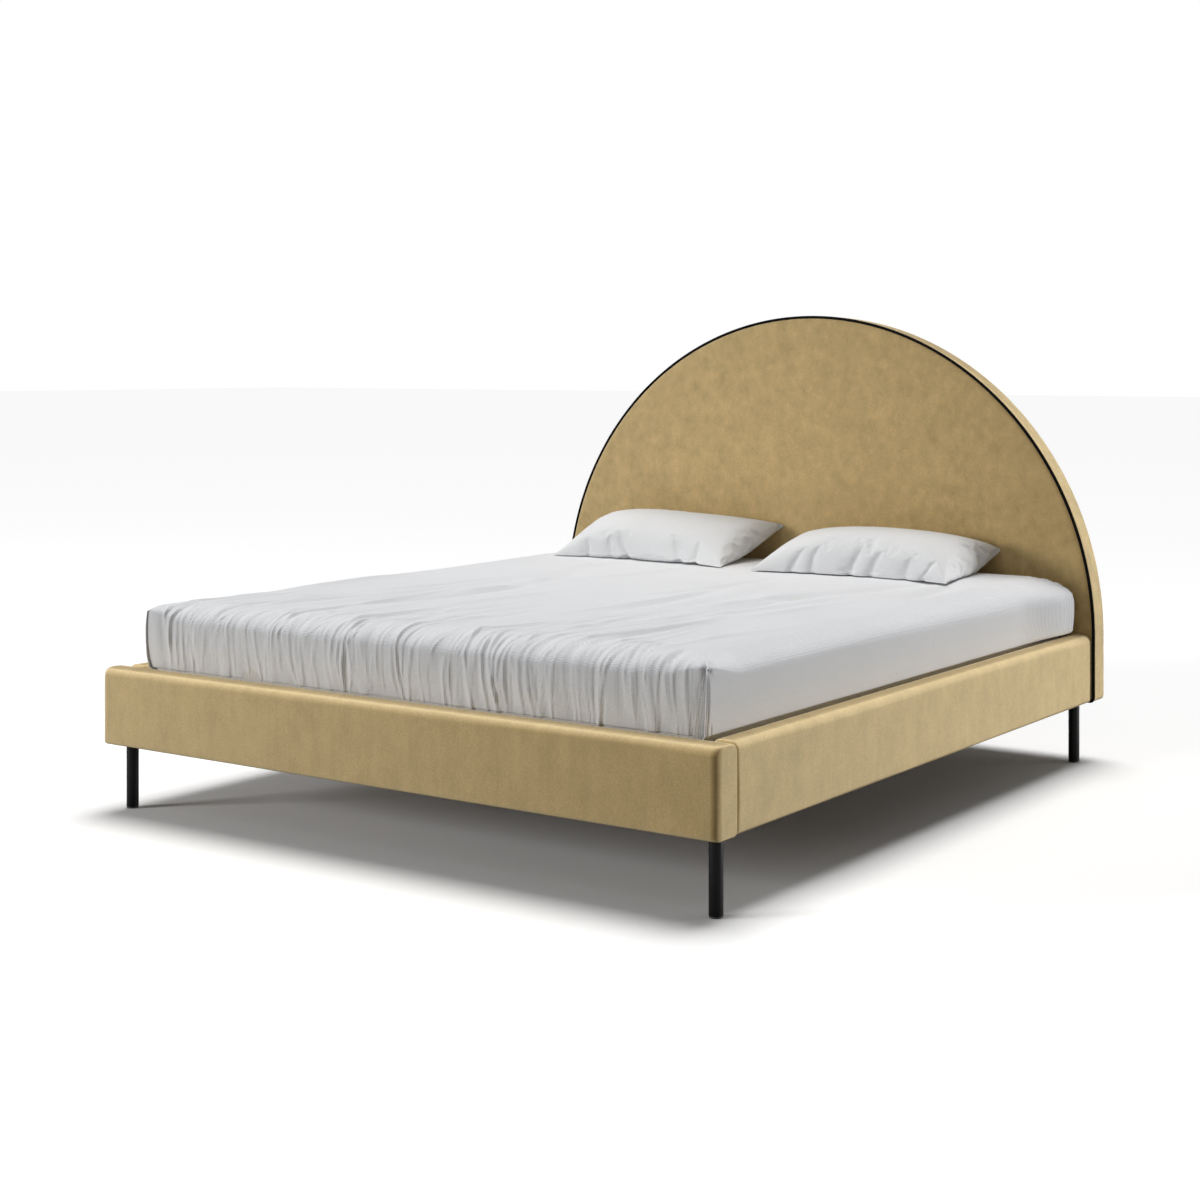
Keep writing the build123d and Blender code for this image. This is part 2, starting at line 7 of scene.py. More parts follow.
import bpy
import numpy as np
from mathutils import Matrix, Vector


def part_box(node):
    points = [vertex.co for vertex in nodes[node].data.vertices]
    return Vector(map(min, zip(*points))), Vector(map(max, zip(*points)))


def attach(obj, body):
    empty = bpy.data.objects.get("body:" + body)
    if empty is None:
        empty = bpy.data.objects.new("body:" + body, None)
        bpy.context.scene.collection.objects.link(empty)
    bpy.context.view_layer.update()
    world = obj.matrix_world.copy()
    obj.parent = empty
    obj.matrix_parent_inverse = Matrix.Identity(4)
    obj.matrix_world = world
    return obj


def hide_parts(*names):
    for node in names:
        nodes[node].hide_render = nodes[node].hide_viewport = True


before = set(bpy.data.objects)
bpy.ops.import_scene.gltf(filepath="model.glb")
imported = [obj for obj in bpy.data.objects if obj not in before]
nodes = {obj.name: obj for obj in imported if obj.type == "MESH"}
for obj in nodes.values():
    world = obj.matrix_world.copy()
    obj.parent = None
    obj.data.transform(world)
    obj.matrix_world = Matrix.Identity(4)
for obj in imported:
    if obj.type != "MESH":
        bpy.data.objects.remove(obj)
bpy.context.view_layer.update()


# %% The lines that the pieces share
def corners(node):
    """The lowest and the highest corner of a solid, as two arrays."""
    low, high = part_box(node)
    return np.array(low), np.array(high)


foot_high = corners("foot_rail_cover")[1]
band_low, band_high = corners("headboard_band_cover")
front_low = corners("headboard_front_cover")[0]
sheet_low, sheet_high = corners("fitted_sheet")
rail_top_z = foot_high[2]
half_headboard = band_high[0]
headboard_front_y = front_low[1]
headboard_back_y = band_high[1]
headboard_foot_z = band_low[2]
headboard_spring_z = band_high[2] - half_headboard
print("headboard half width", round(half_headboard, 4), "its half circle springs at", round(headboard_spring_z, 4))


# %% [markdown]
# The camera stands level, so the upright lines of the bed stay upright in the picture. A level
# camera would put the horizon in the middle of the frame. A shift lens moves it up instead of
# tilting the camera, as a studio photographer does.

# %% Camera
camera_place = (3.145, -4.646, 1.186)
camera_turn = np.radians(35.05)
camera_lens = 59.76
camera_shift = -0.1993

camera_data = bpy.data.cameras.new("camera")
camera_data.lens = camera_lens
camera_data.sensor_width = 36.0
camera_data.shift_y = camera_shift
camera = bpy.data.objects.new("camera", camera_data)
camera.location = camera_place
camera.rotation_euler = (np.pi / 2, 0.0, camera_turn)
bpy.context.scene.collection.objects.link(camera)
bpy.context.scene.camera = camera
bpy.context.scene.view_settings.view_transform = "Standard"


# %% [markdown]
# A shader is a small graph. These helpers add one node at a time and take either plain values or
# sockets of other nodes, so that a finish can be read from top to bottom like a recipe.

# %% Shader helpers
def add_node(tree, kind, inputs=None, **settings):
    """Adds a node with its settings, and sets or links the inputs that are given."""
    made = tree.nodes.new(kind)
    for key, value in settings.items():
        setattr(made, key, value)
    for key, value in (inputs or {}).items():
        if isinstance(value, bpy.types.NodeSocket):
            tree.links.new(value, made.inputs[key])
        else:
            made.inputs[key].default_value = value
    return made


def new_finish(name):
    """An empty material, its tree, and the place on the object that its patterns read."""
    material = bpy.data.materials.new(name)
    material.use_nodes = True
    tree = material.node_tree
    tree.nodes.clear()
    return material, tree, add_node(tree, "ShaderNodeTexCoord").outputs["Object"]


def end_finish(material, shader, inputs):
    """Ends a finish with its shader."""
    made = add_node(material.node_tree, shader, inputs)
    add_node(material.node_tree, "ShaderNodeOutputMaterial", {"Surface": made.outputs[0]})
    return material


def noise(tree, place, scale, detail=3.0, stretch=(1, 1, 1), roughness=0.5):
    """Smooth noise in space, stretched along the axes where its stretch is small."""
    mapped = add_node(tree, "ShaderNodeMapping", {"Vector": place, "Scale": stretch}).outputs["Vector"]
    inputs = {"Vector": mapped, "Scale": scale, "Detail": detail, "Roughness": roughness}
    return add_node(tree, "ShaderNodeTexNoise", inputs).outputs["Fac"]


def remap(tree, value, low, high, to_low, to_high):
    """Moves a value from one range to another and holds it inside the second."""
    inputs = {"Value": value, "From Min": low, "From Max": high, "To Min": to_low, "To Max": to_high}
    return add_node(tree, "ShaderNodeMapRange", inputs).outputs["Result"]


def maths(tree, operation, first, second=0.0):
    """One sum on a value."""
    return add_node(tree, "ShaderNodeMath", {0: first, 1: second}, operation=operation).outputs[0]


def blend_colour(tree, factor, first, second, mode="MIX"):
    """Mixes two colours. The Mix node's colour sockets are its seventh and eighth."""
    inputs = {0: factor, 6: first, 7: second}
    return add_node(tree, "ShaderNodeMix", inputs, data_type="RGBA", blend_type=mode).outputs[2]


def grey(tree, shade):
    """The grey of a shade."""
    return add_node(tree, "ShaderNodeCombineColor", dict.fromkeys(("Red", "Green", "Blue"), shade)).outputs["Color"]


def shaded(tree, tone, shade):
    """A colour times a shade."""
    return blend_colour(tree, 1.0, tone, grey(tree, shade), mode="MULTIPLY")


def bump(tree, height, distance, strength):
    """Turns a height into a slope of the surface."""
    inputs = {"Height": height, "Distance": distance, "Strength": strength}
    return add_node(tree, "ShaderNodeBump", inputs).outputs["Normal"]


def colour(red, green, blue):
    """A colour with its alpha."""
    return (red, green, blue, 1.0)


# %% [markdown]
# Velvet is a pile of short upright threads. Seen end on it swallows light, and seen from the side
# its threads catch it. That sheen and shade are painted into the colour here: cloth that faces the
# eye is painted dark and cloth that turns away is painted pale. On a surface that lies almost level
# with the eye the painted tone darkens again, and the very rim gets a painted glow. A Layer Weight
# node measures just that turn, and four stages blend five colours. The pile also lies a little
# differently from hand to hand, which shows as blotches and streaks.

# %% Velvet
# These five colours paint the velvet's sheen and shade: its tone as lit at each turn from the eye, and a painted
# glow at the rim.
pile_end_on = colour(0.50, 0.35, 0.15)
pile_slanted = colour(0.62, 0.452, 0.213)
pile_side_on = colour(0.81, 0.635, 0.355)
pile_flat_on = colour(0.46, 0.35, 0.185)
painted_rim_glow = colour(1.0, 0.90, 0.62)
turn_stages = ((0.0, 0.15), (0.15, 0.50), (0.65, 0.78), (0.90, 1.0))


def velvet_finish(name, streaks, mottle, cloud_scale):
    """Velvet whose streaks run along the axis where their stretch is small."""
    material, tree, place = new_finish(name)
    blotches = noise(tree, place, cloud_scale, detail=9.0, roughness=0.72)
    strokes = noise(tree, place, 34.0, detail=5.0, stretch=streaks, roughness=0.65)
    pile = noise(tree, place, 330.0, detail=3.0, roughness=0.6)
    lie = maths(tree, "ADD", maths(tree, "MULTIPLY", blotches, 0.6), maths(tree, "MULTIPLY", strokes, 0.4))
    turned = bump(tree, lie, 0.0035, mottle)
    # Painted sheen and shade: the colour is picked by how far the surface turns from the eye.
    facing = add_node(tree, "ShaderNodeLayerWeight", {"Blend": 0.5, "Normal": turned}).outputs["Facing"]
    near, far, flat, rim = [remap(tree, facing, start, end, 0.0, 1.0) for start, end in turn_stages]
    facing_painted_shade = blend_colour(tree, near, pile_end_on, pile_slanted)
    turned_painted_sheen_and_shade = blend_colour(tree, flat, pile_side_on, pile_flat_on)
    turned_painted_sheen_and_shade = blend_colour(tree, rim, turned_painted_sheen_and_shade, painted_rim_glow)
    shade = remap(tree, lie, 0.35, 0.65, 1.0 - 0.21 * mottle, 1.0 + 0.16 * mottle)
    shade = maths(tree, "MULTIPLY", shade, remap(tree, pile, 0.3, 0.7, 0.89, 1.11))
    inputs = {
        "Base Color": shaded(tree, blend_colour(tree, far, facing_painted_shade, turned_painted_sheen_and_shade), shade),
        "Roughness": 0.9,
        "Specular IOR Level": 0.12,
        "Sheen Weight": 0.07,
        "Sheen Roughness": 0.35,
        "Sheen Tint": colour(1.0, 0.86, 0.62),
        "Normal": bump(tree, pile, 0.0005, 0.5),
    }
    return end_finish(material, "ShaderNodeBsdfPrincipled", inputs)


rail_velvet = velvet_finish("rail_velvet", (1.0, 0.6, 0.22), 0.5, 12.0)
headboard_velvet = velvet_finish("headboard_velvet", (1.0, 1.0, 0.8), 0.85, 17.0)
print("two velvets are mixed, for the rails and for the headboard")


# %% [markdown]
# The other cloths are woven. Their thread is far finer than a pixel in most views, so it is a
# small bump, and what the eye reads is the soft unevenness of the cloth.

# %% Other cloths
def woven_finish(name, tone, unevenness, thread, rib_depth, roughness=0.85):
    """Plain woven cloth: threads cross along the three axes, over a faint cloudiness."""
    material, tree, place = new_finish(name)
    axes = add_node(tree, "ShaderNodeSeparateXYZ", {"Vector": place}).outputs
    ribs = [maths(tree, "SINE", maths(tree, "MULTIPLY", axis, 2 * np.pi / thread)) for axis in axes]
    cloth = maths(tree, "ADD", maths(tree, "ADD", ribs[0], ribs[1]), ribs[2])
    cloud = noise(tree, place, 5.0, detail=4.0)
    fibre = noise(tree, place, 420.0, detail=3.0)
    shade = remap(tree, cloud, 0.3, 0.7, 1.0 - unevenness, 1.0)
    shade = maths(tree, "MULTIPLY", shade, remap(tree, fibre, 0.3, 0.7, 0.97, 1.02))
    relief = maths(tree, "ADD", cloth, maths(tree, "MULTIPLY", fibre, 2.0))
    inputs = {
        "Base Color": shaded(tree, colour(*tone), shade),
        "Roughness": roughness,
        "Specular IOR Level": 0.1,
        "Normal": bump(tree, relief, rib_depth, 0.6),
    }
    return end_finish(material, "ShaderNodeBsdfPrincipled", inputs)


sheet_cotton = woven_finish("sheet_cotton", (0.770, 0.778, 0.796), 0.02, 0.0034, 0.00025)
pillow_cotton = woven_finish("pillow_cotton", (0.797, 0.802, 0.809), 0.02, 0.0016, 0.00012)
piping_cloth = woven_finish("piping_cloth", (0.004, 0.004, 0.004), 0.1, 0.0012, 0.0002, roughness=0.95)
backing_cloth = woven_finish("backing_cloth", (0.022, 0.022, 0.023), 0.12, 0.0024, 0.0002)
ticking_cloth = woven_finish("ticking_cloth", (0.74, 0.73, 0.70), 0.04, 0.003, 0.0003)


# %% [markdown]
# Timber shows long grain: noise that is stretched along the length of the piece. Sprung slats are
# peeled beech glued in thin sheets, and the frame inside is plain softwood and board.

# %% Timber and board
def timber_finish(name, pale, dark, along, rings, roughness=0.6):
    """Timber whose grain runs along the axis where its stretch is small."""
    material, tree, place = new_finish(name)
    figure = noise(tree, place, rings, detail=6.0, stretch=along, roughness=0.6)
    pores = noise(tree, place, rings * 12, detail=3.0, stretch=along)
    cloud = noise(tree, place, 3.0, detail=2.0)
    tone = blend_colour(tree, remap(tree, figure, 0.35, 0.65, 0.0, 1.0), colour(*pale), colour(*dark))
    shade = remap(tree, pores, 0.35, 0.6, 0.84, 1.0)
    shade = maths(tree, "MULTIPLY", shade, remap(tree, cloud, 0.3, 0.7, 0.92, 1.06))
    inputs = {
        "Base Color": shaded(tree, tone, shade),
        "Roughness": roughness,
        "Specular IOR Level": 0.35,
        "Normal": bump(tree, pores, 0.0004, 0.4),
    }
    return end_finish(material, "ShaderNodeBsdfPrincipled", inputs)


slat_beech = timber_finish("slat_beech", (0.74, 0.56, 0.37), (0.60, 0.42, 0.26), (0.05, 1.0, 1.0), 90.0, 0.45)
long_timber = timber_finish("long_timber", (0.68, 0.50, 0.30), (0.52, 0.35, 0.19), (1.0, 0.04, 1.0), 60.0)
cross_timber = timber_finish("cross_timber", (0.68, 0.50, 0.30), (0.52, 0.35, 0.19), (0.04, 1.0, 1.0), 60.0)
frame_board = timber_finish("frame_board", (0.60, 0.44, 0.27), (0.46, 0.32, 0.19), (0.5, 1.0, 0.5), 240.0, 0.8)


# %% [markdown]
# The legs are steel with black powder paint, which bakes to a fine orange-peel skin. Screws are
# zinc plated, and the slat holders and glides are moulded plastic.

# %% Metals and plastics
def moulded_finish(name, tone, metal, roughness, grain, depth, gloss=0.5):
    """Paint, plating or plastic: one tone, a fine skin, and a slight change of gloss."""
    material, tree, place = new_finish(name)
    skin = noise(tree, place, grain, detail=2.0)
    wear = noise(tree, place, 14.0, detail=5.0)
    inputs = {
        "Base Color": shaded(tree, colour(*tone), remap(tree, wear, 0.3, 0.7, 0.9, 1.1)),
        "Metallic": metal,
        "Specular IOR Level": gloss,
        "Roughness": remap(tree, wear, 0.3, 0.7, roughness - 0.06, roughness + 0.06),
        "Normal": bump(tree, skin, depth, 0.4),
    }
    return end_finish(material, "ShaderNodeBsdfPrincipled", inputs)


leg_paint = moulded_finish("leg_paint", (0.003, 0.003, 0.003), 0.0, 0.5, 900.0, 0.0002, gloss=0.12)
bracket_paint = moulded_finish("bracket_paint", (0.02, 0.02, 0.022), 0.0, 0.45, 700.0, 0.0002)
bright_zinc = moulded_finish("bright_zinc", (0.62, 0.62, 0.64), 1.0, 0.34, 500.0, 0.0002)
holder_plastic = moulded_finish("holder_plastic", (0.03, 0.03, 0.032), 0.0, 0.5, 1100.0, 0.0001)
glide_plastic = moulded_finish("glide_plastic", (0.02, 0.02, 0.02), 0.0, 0.55, 1100.0, 0.0001)


# %% [markdown]
# Each new piece is a surface over a grid: two parameters, one array of points. One helper turns
# such an array into a mesh. A direction that closes on itself, such as the way round a tube, is
# wrapped, and an open end can be closed with one flat face.

# %% Grids to meshes
def quads_of(numbers):
    """The quads between neighbouring entries of a table of point numbers."""
    around = (numbers[:-1, :-1], numbers[:-1, 1:], numbers[1:, 1:], numbers[1:, :-1])
    return np.stack(around, axis=-1).reshape(-1, 4)


def grid_quads(rows, columns, wrap_rows=False, wrap_columns=False):
    """The corner numbers of the quads between neighbouring points of a grid."""
    numbers = np.arange(rows * columns).reshape(rows, columns)
    if wrap_rows:
        numbers = np.vstack([numbers, numbers[:1]])
    if wrap_columns:
        numbers = np.hstack([numbers, numbers[:, :1]])
    return quads_of(numbers)


def mesh_piece(name, points, faces, finish, body, smooth=True):
    """A mesh object from points and faces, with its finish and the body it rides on."""
    mesh = bpy.data.meshes.new(name)
    mesh.from_pydata(np.asarray(points).reshape(-1, 3).tolist(), [], [list(face) for face in faces])
    mesh.validate()
    mesh.polygons.foreach_set("use_smooth", np.full(len(mesh.polygons), smooth))
    mesh.materials.append(finish)
    piece = bpy.data.objects.new(name, mesh)
    bpy.context.scene.collection.objects.link(piece)
    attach(piece, body)
    print(name, "has", len(mesh.polygons), "faces")
    return piece


def grid_faces(points, wrap_rows=False, wrap_columns=False, caps=False, flip=False):
    """The faces of a grid of points, with its first and last rows closed if asked."""
    rows, columns = points.shape[:2]
    faces = grid_quads(rows, columns, wrap_rows, wrap_columns).tolist()
    if caps:
        faces.append(list(range(columns))[::-1])
        faces.append(list(range((rows - 1) * columns, rows * columns)))
    if flip:
        faces = [face[::-1] for face in faces]
    return faces


def shell_faces(shells, **options):
    """The faces of several grids of one size, one after the other."""
    faces, size = grid_faces(shells[0], **options), shells[0][..., 0].size
    return [[k * size + n for n in face] for k in range(len(shells)) for face in faces]


# %% [markdown]
# Cloth is never quite even. Smooth random waves, the same on every run because their seed is
# written down, move the surfaces a little.

# %% Smooth random waves
def waves(across, along, cell_across, cell_along, seed):
    """Random numbers on a lattice, joined by the curve 3t^2 - 2t^3, between minus one and one."""
    size = 512
    table = np.random.default_rng(seed).uniform(-1.0, 1.0, (size, size))
    a, b = np.asarray(across) / cell_across, np.asarray(along) / cell_along
    column, row = np.floor(a).astype(int), np.floor(b).astype(int)
    s, t = a - column, b - row
    s, t = s * s * (3 - 2 * s), t * t * (3 - 2 * t)
    corner = lambda i, j: table[(column + i) % size, (row + j) % size]
    near = corner(0, 0) * (1 - s) + corner(1, 0) * s
    far = corner(0, 1) * (1 - s) + corner(1, 1) * s
    return near * (1 - t) + far * t


def ease(value, start, end):
    """Rises smoothly from nought at the start to one at the end."""
    t = np.clip((np.asarray(value) - start) / (end - start), 0.0, 1.0)
    return t * t * (3 - 2 * t)


# %% Circles and lengths
def circle(count):
    """Angles all the way round."""
    return np.linspace(0, 2 * np.pi, count, endpoint=False)


def quarter(count):
    """Angles of a quarter of a circle, with both its ends."""
    return np.linspace(0, np.pi / 2, count)


def distance_along(path):
    """How far each point of a path lies from its start."""
    return np.concatenate([[0], np.cumsum(np.linalg.norm(np.diff(path, axis=0), axis=1))])


# %% [markdown]
# A rail is timber wrapped in foam and wadding, then in velvet, so it is a bar with soft edges.
# Its section is a rectangle with two radii, and that section shrinks towards each end along a
# quarter circle, as wadding does under cloth that is pulled round a corner. The foot rail runs
# past the side rails, so its front corners are rounded too.

# %% Padded rails
rail_top_radius = 0.017
rail_foot_radius = 0.011
rail_crown = 0.006


def bar_section(half_thickness, low, high, inset, steps=9):
    """A rectangle's outline drawn in by an inset: four quarter circles joined by straight runs."""
    top = max(rail_top_radius - inset, 0.0012)
    foot = max(rail_foot_radius - inset, 0.0012)
    half, low, high = half_thickness - inset, low + inset, high - inset
    turn = quarter(steps)
    sweep = lambda radius, start: np.stack([np.cos(start + turn), np.sin(start + turn)], -1) * radius
    straight = np.linspace(0, 1, 12)[1:-1, None]
    arcs = [
        sweep(top, 0.0) + (half - top, high - top),
        sweep(top, np.pi / 2) + (top - half, high - top),
        sweep(foot, np.pi) + (foot - half, low + foot),
        sweep(foot, 1.5 * np.pi) + (half - foot, low + foot),
    ]
    runs = [a[-1] + (b[0] - a[-1]) * straight for a, b in zip(arcs, arcs[1:] + arcs[:1])]
    return np.concatenate([part for pair in zip(arcs, runs) for part in pair])


def padded_rail(name, node, foam, run_axis, end_radii, proud, front_round, seed):
    """A velvet rail along X or Y, made in the box of its solid, with its ends rounded and closed."""
    low, high = corners(node)
    low[run_axis] -= proud[0]
    high[run_axis] += proud[1]
    across_axis = 1 - run_axis
    middle = (low[across_axis] + high[across_axis]) / 2
    half = (high[across_axis] - low[across_axis]) / 2
    turn = quarter(9)
    length = high[run_axis] - low[run_axis]
    near_end = np.linspace(0, 0.03, 14)[1:]
    body_steps = np.concatenate(
        [
            end_radii[0] + near_end,
            np.linspace(0.045, length - 0.045, int(length / 0.02)),
            length - end_radii[1] - near_end[::-1],
        ]
    )
    end_steps, end_insets = [], []
    for radius in end_radii:
        end_steps.append(np.concatenate([np.zeros(3), radius * (1 - np.sin(turn))[::-1]]))
        face = [half * 0.85, half * 0.65, radius + 0.003]
        end_insets.append(np.concatenate([face, radius * (1 - np.cos(turn))[::-1]]))
    steps = np.concatenate([end_steps[0], body_steps, (length - end_steps[1])[::-1]])
    insets = np.concatenate([end_insets[0], np.zeros(len(body_steps)), end_insets[1][::-1]])
    rings = np.array([bar_section(half, low[2], high[2], inset) for inset in insets])
    points = np.zeros(rings.shape[:2] + (3,))
    points[..., run_axis] = (low[run_axis] + steps)[:, None]
    points[..., across_axis] = middle + rings[..., 0]
    points[..., 2] = rings[..., 1]
    run, height = points[..., run_axis], points[..., 2].copy()
    swell = 0.0006 * waves(run, height, 0.23, 0.09, seed) + 0.0003 * waves(run, height, 0.05, 0.06, seed + 1)
    over = ease(rings[..., 1], high[2] - 0.03, high[2] - 0.012)
    whole_section = ease(half - insets, half * 0.3, half * 0.9)[:, None]
    points[..., 2] += rail_crown * over * (1 - (rings[..., 0] / half) ** 2) * whole_section
    away = np.sign(rings[..., 0]) * (np.abs(rings[..., 0]) > half * 0.98)
    points[..., across_axis] += away * swell
    short = np.clip(front_round - np.minimum(steps, length - steps), 0.0, front_round)[:, None]
    bite = front_round - np.sqrt(front_round**2 - short**2)
    points[..., across_axis] += bite * np.clip(-rings[..., 0] / half, 0.0, 1.0)
    faces = grid_faces(points, wrap_columns=True, caps=True, flip=run_axis != 0)
    piece = mesh_piece(name, points, faces, rail_velvet, "frame")
    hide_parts(node, foam)


padded_rail("foot_rail", "foot_rail_cover", "foot_rail_foam", 0, (0.005, 0.005), (0.003, 0.003), 0.018, 11)
padded_rail("left_rail", "left_rail_cover", "left_rail_foam", 1, (0.010, 0.003), (-0.0025, 0.004), 0.0, 21)
padded_rail("right_rail", "right_rail_cover", "right_rail_foam", 1, (0.010, 0.003), (-0.0025, 0.004), 0.0, 31)


# %% [markdown]
# The headboard's outline is a letter D laid on its back: a level foot, two short upright sides
# and a half circle. All that follows the edge, such as the piping and the band, needs the same
# outline drawn in by different insets, with its points in step, so one function gives them all.

# %% Headboard outline
headboard_corner = 0.014
arch_steps = 260
side_steps = 14
foot_steps = 120
corner_steps = 7


def headboard_outline(inset):
    """The outline at an inset, clockwise seen from the foot, starting at the foot's middle."""
    half = half_headboard - inset
    foot = headboard_foot_z + inset
    radius = max(headboard_corner - inset, 0.001)
    turn = quarter(corner_steps)[1:-1]
    arch = np.linspace(0, np.pi, arch_steps)
    line = lambda start, end, count: start + (end - start) * np.linspace(0, 1, count)[:, None]
    right = np.concatenate(
        [
            line(np.array([0.0, foot]), np.array([half - radius, foot]), foot_steps // 2),
            np.stack([half - radius + radius * np.sin(turn), foot + radius - radius * np.cos(turn)], -1),
            line(np.array([half, foot + radius]), np.array([half, headboard_spring_z]), side_steps)[:-1],
        ]
    )
    top = np.stack([half * np.cos(arch), headboard_spring_z + half * np.sin(arch)], -1)
    left = right[1:][::-1] * (-1, 1)
    return np.concatenate([right, top, left])


def carry_section(insets, depths):
    """A grid: the outline at each inset, laid at each depth along Y."""
    rings = np.array([headboard_outline(inset) for inset in insets])
    depth = np.broadcast_to(np.asarray(depths).reshape(-1, 1), rings.shape[:2])
    return np.stack([rings[..., 0], depth, rings[..., 1]], -1)


outline_length = distance_along(headboard_outline(0.0))[-1]
print("the headboard's edge is", round(outline_length, 3), "m long")


# %% [markdown]
# The front is one flat panel over foam. It dips into the seam behind the piping and is level a
# couple of centimetres in. From there the rings shrink towards the middle of the half circle.

# %% Headboard front
seam_inset = 0.0045
seam_depth = 0.0050
panel_insets = np.array([0.0, 0.0012, 0.003, 0.006, 0.010, 0.015, 0.022])
panel_dips = seam_depth * np.exp(-panel_insets / 0.0042)
panel_ring = carry_section(seam_inset + panel_insets, headboard_front_y + panel_dips)
middle = np.array([0.0, headboard_front_y, headboard_spring_z + 0.28])
shrink = np.linspace(1.0, 0.02, 46)[1:, None, None]
inner_rings = middle + (panel_ring[-1] - middle) * shrink
panel = np.concatenate([panel_ring, inner_rings])
level = ease(np.linspace(0, 1, len(panel)), 0.12, 0.3)[:, None]
panel[..., 1] -= level * 0.0012 * (1 + waves(panel[..., 0], panel[..., 2], 0.16, 0.12, 41))
panel_faces = grid_faces(panel, wrap_columns=True, flip=True)
panel_faces.append(list(range((len(panel) - 1) * panel.shape[1], panel.shape[0] * panel.shape[1]))[::-1])
front_panel = mesh_piece("headboard_front", panel, panel_faces, headboard_velvet, "frame")
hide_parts("headboard_front_cover", "headboard_front_foam")


# %% [markdown]
# The edge band is a long strip of the same velvet. It starts in the seam behind the piping, runs
# back over the foam and turns over onto the back, where it is stapled down.

# %% Headboard band
band_start = np.array(
    [[seam_inset, 0.0080], [0.0034, 0.0090], [0.0024, 0.0108], [0.0014, 0.0140], [0.0006, 0.0185]]
)
band_fold = 0.010
band_depth = headboard_back_y - headboard_front_y
band_flat = np.stack([np.zeros(10), np.linspace(0.025, band_depth - band_fold - 0.0005, 10)], -1)
band_turn = quarter(8)
band_round = np.stack(
    [band_fold * (1 - np.cos(band_turn)), band_depth - band_fold * (1 - np.sin(band_turn))], -1
)
band_back = np.stack([np.linspace(0.013, 0.046, 6), np.full(6, band_depth)], -1)
band_section = np.concatenate([band_start, band_flat, band_round, band_back])
band = carry_section(band_section[:, 0], headboard_front_y + band_section[:, 1])
band_faces = grid_faces(band, wrap_columns=True)
band_piece = mesh_piece("headboard_band", band, band_faces, headboard_velvet, "frame")
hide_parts("headboard_band_cover", "headboard_band_foam", "headboard_back_wadding")


# %% [markdown]
# Piping is a cord wrapped in a bias strip and sewn into the seam. It is a ring carried round the
# outline. Its thickness wavers a little where the strip is pulled tighter.

# %% Piping
piping_low, piping_high = corners("headboard_piping")
piping_radius = 0.0046
piping_inset = half_headboard - piping_high[0] + piping_radius
piping_y = (piping_low[1] + piping_high[1]) / 2
around = circle(14)
path = headboard_outline(piping_inset)
forward = np.roll(path, -1, axis=0) - np.roll(path, 1, axis=0)
forward /= np.linalg.norm(forward, axis=1, keepdims=True)
outward = np.stack([forward[:, 1], -forward[:, 0]], -1)
travelled = distance_along(path)
thickness = piping_radius * (1 + 0.03 * waves(travelled, 0 * travelled, 0.03, 1.0, 51))
rim = thickness[:, None] * np.cos(around)
piping = np.stack(
    [
        path[:, :1] + outward[:, :1] * rim,
        piping_y + thickness[:, None] * np.sin(around),
        path[:, 1:] + outward[:, 1:] * rim,
    ],
    -1,
)
piping_faces = grid_faces(piping, wrap_rows=True, wrap_columns=True)
piping_piece = mesh_piece("piping", piping, piping_faces, piping_cloth, "frame")
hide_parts("headboard_piping")


# %% [markdown]
# The legs are turned shapes: a radius at each height, spun round an upright axis. The edge of the
# tube is broken by a small round, and the glide under it is a slightly narrower disc.

# %% Legs
def turned(name, centres, heights, radii, finish, slot, replaced, sides=48):
    """Spins a list of radii and heights round upright axes and closes both ends."""
    plans = [np.outer(radii, np.cos(circle(sides))), np.outer(radii, np.sin(circle(sides)))]
    profile = np.stack(plans + [np.outer(heights, np.ones(sides))], -1)
    shells = [profile + (x, y, 0.0) for x, y in centres]
    faces = shell_faces(shells, wrap_columns=True, caps=True)
    piece = mesh_piece(name, np.array(shells), faces, finish, "frame")
    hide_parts(*replaced)


def tube_profile(foot, top, radius, edge=0.0012):
    """Heights and radii of a straight tube with rounded edges."""
    turn = quarter(5)
    heights = np.concatenate([foot + edge * (1 - np.cos(turn)), top - edge * (1 - np.cos(turn))[::-1]])
    radii = np.concatenate([radius - edge * (1 - np.sin(turn)), radius - edge * (1 - np.sin(turn))[::-1]])
    return np.insert(heights, [0, 10], [foot, top]), np.insert(radii, [0, 10], [radius * 0.6] * 2)


leg_names = ("leg_front_left", "leg_front_right", "leg_rear_left", "leg_rear_right")
leg_centres = []
for leg_name in leg_names:
    low, high = corners(leg_name)
    centre = (low + high) / 2
    leg_centres.append(centre[:2])
    heights, radii = tube_profile(low[2], high[2] + 0.003, (high[0] - low[0]) / 2)
    turned(leg_name + "_tube", [centre[:2]], heights, radii, leg_paint, "leg_metal", [leg_name])
low, high = corners("centre_legs")
leg_radius = (high[0] - low[0]) / 2
centre_spots = [(0.0, low[1] + leg_radius), (0.0, high[1] - leg_radius)]
heights, radii = tube_profile(low[2], high[2], leg_radius)
turned("centre_leg_tubes", centre_spots, heights, radii, leg_paint, "leg_metal", ["centre_legs"])
heights, radii = tube_profile(0.0, 0.0042, 0.0155)
turned("glides", leg_centres + centre_spots, heights, radii, glide_plastic, "glide", ["leg_glides"])


# %% [markdown]
# The fitted sheet is the largest soft piece. Its top is a grid, and round it runs a second grid
# that follows the mattress over its shoulder, down its sides and under it to the elastic hem. The
# two grids share their border, so the sheet is one cloth. At the foot, where the cloth is
# gathered, there are twice as many columns, and one row of triangles joins the two.

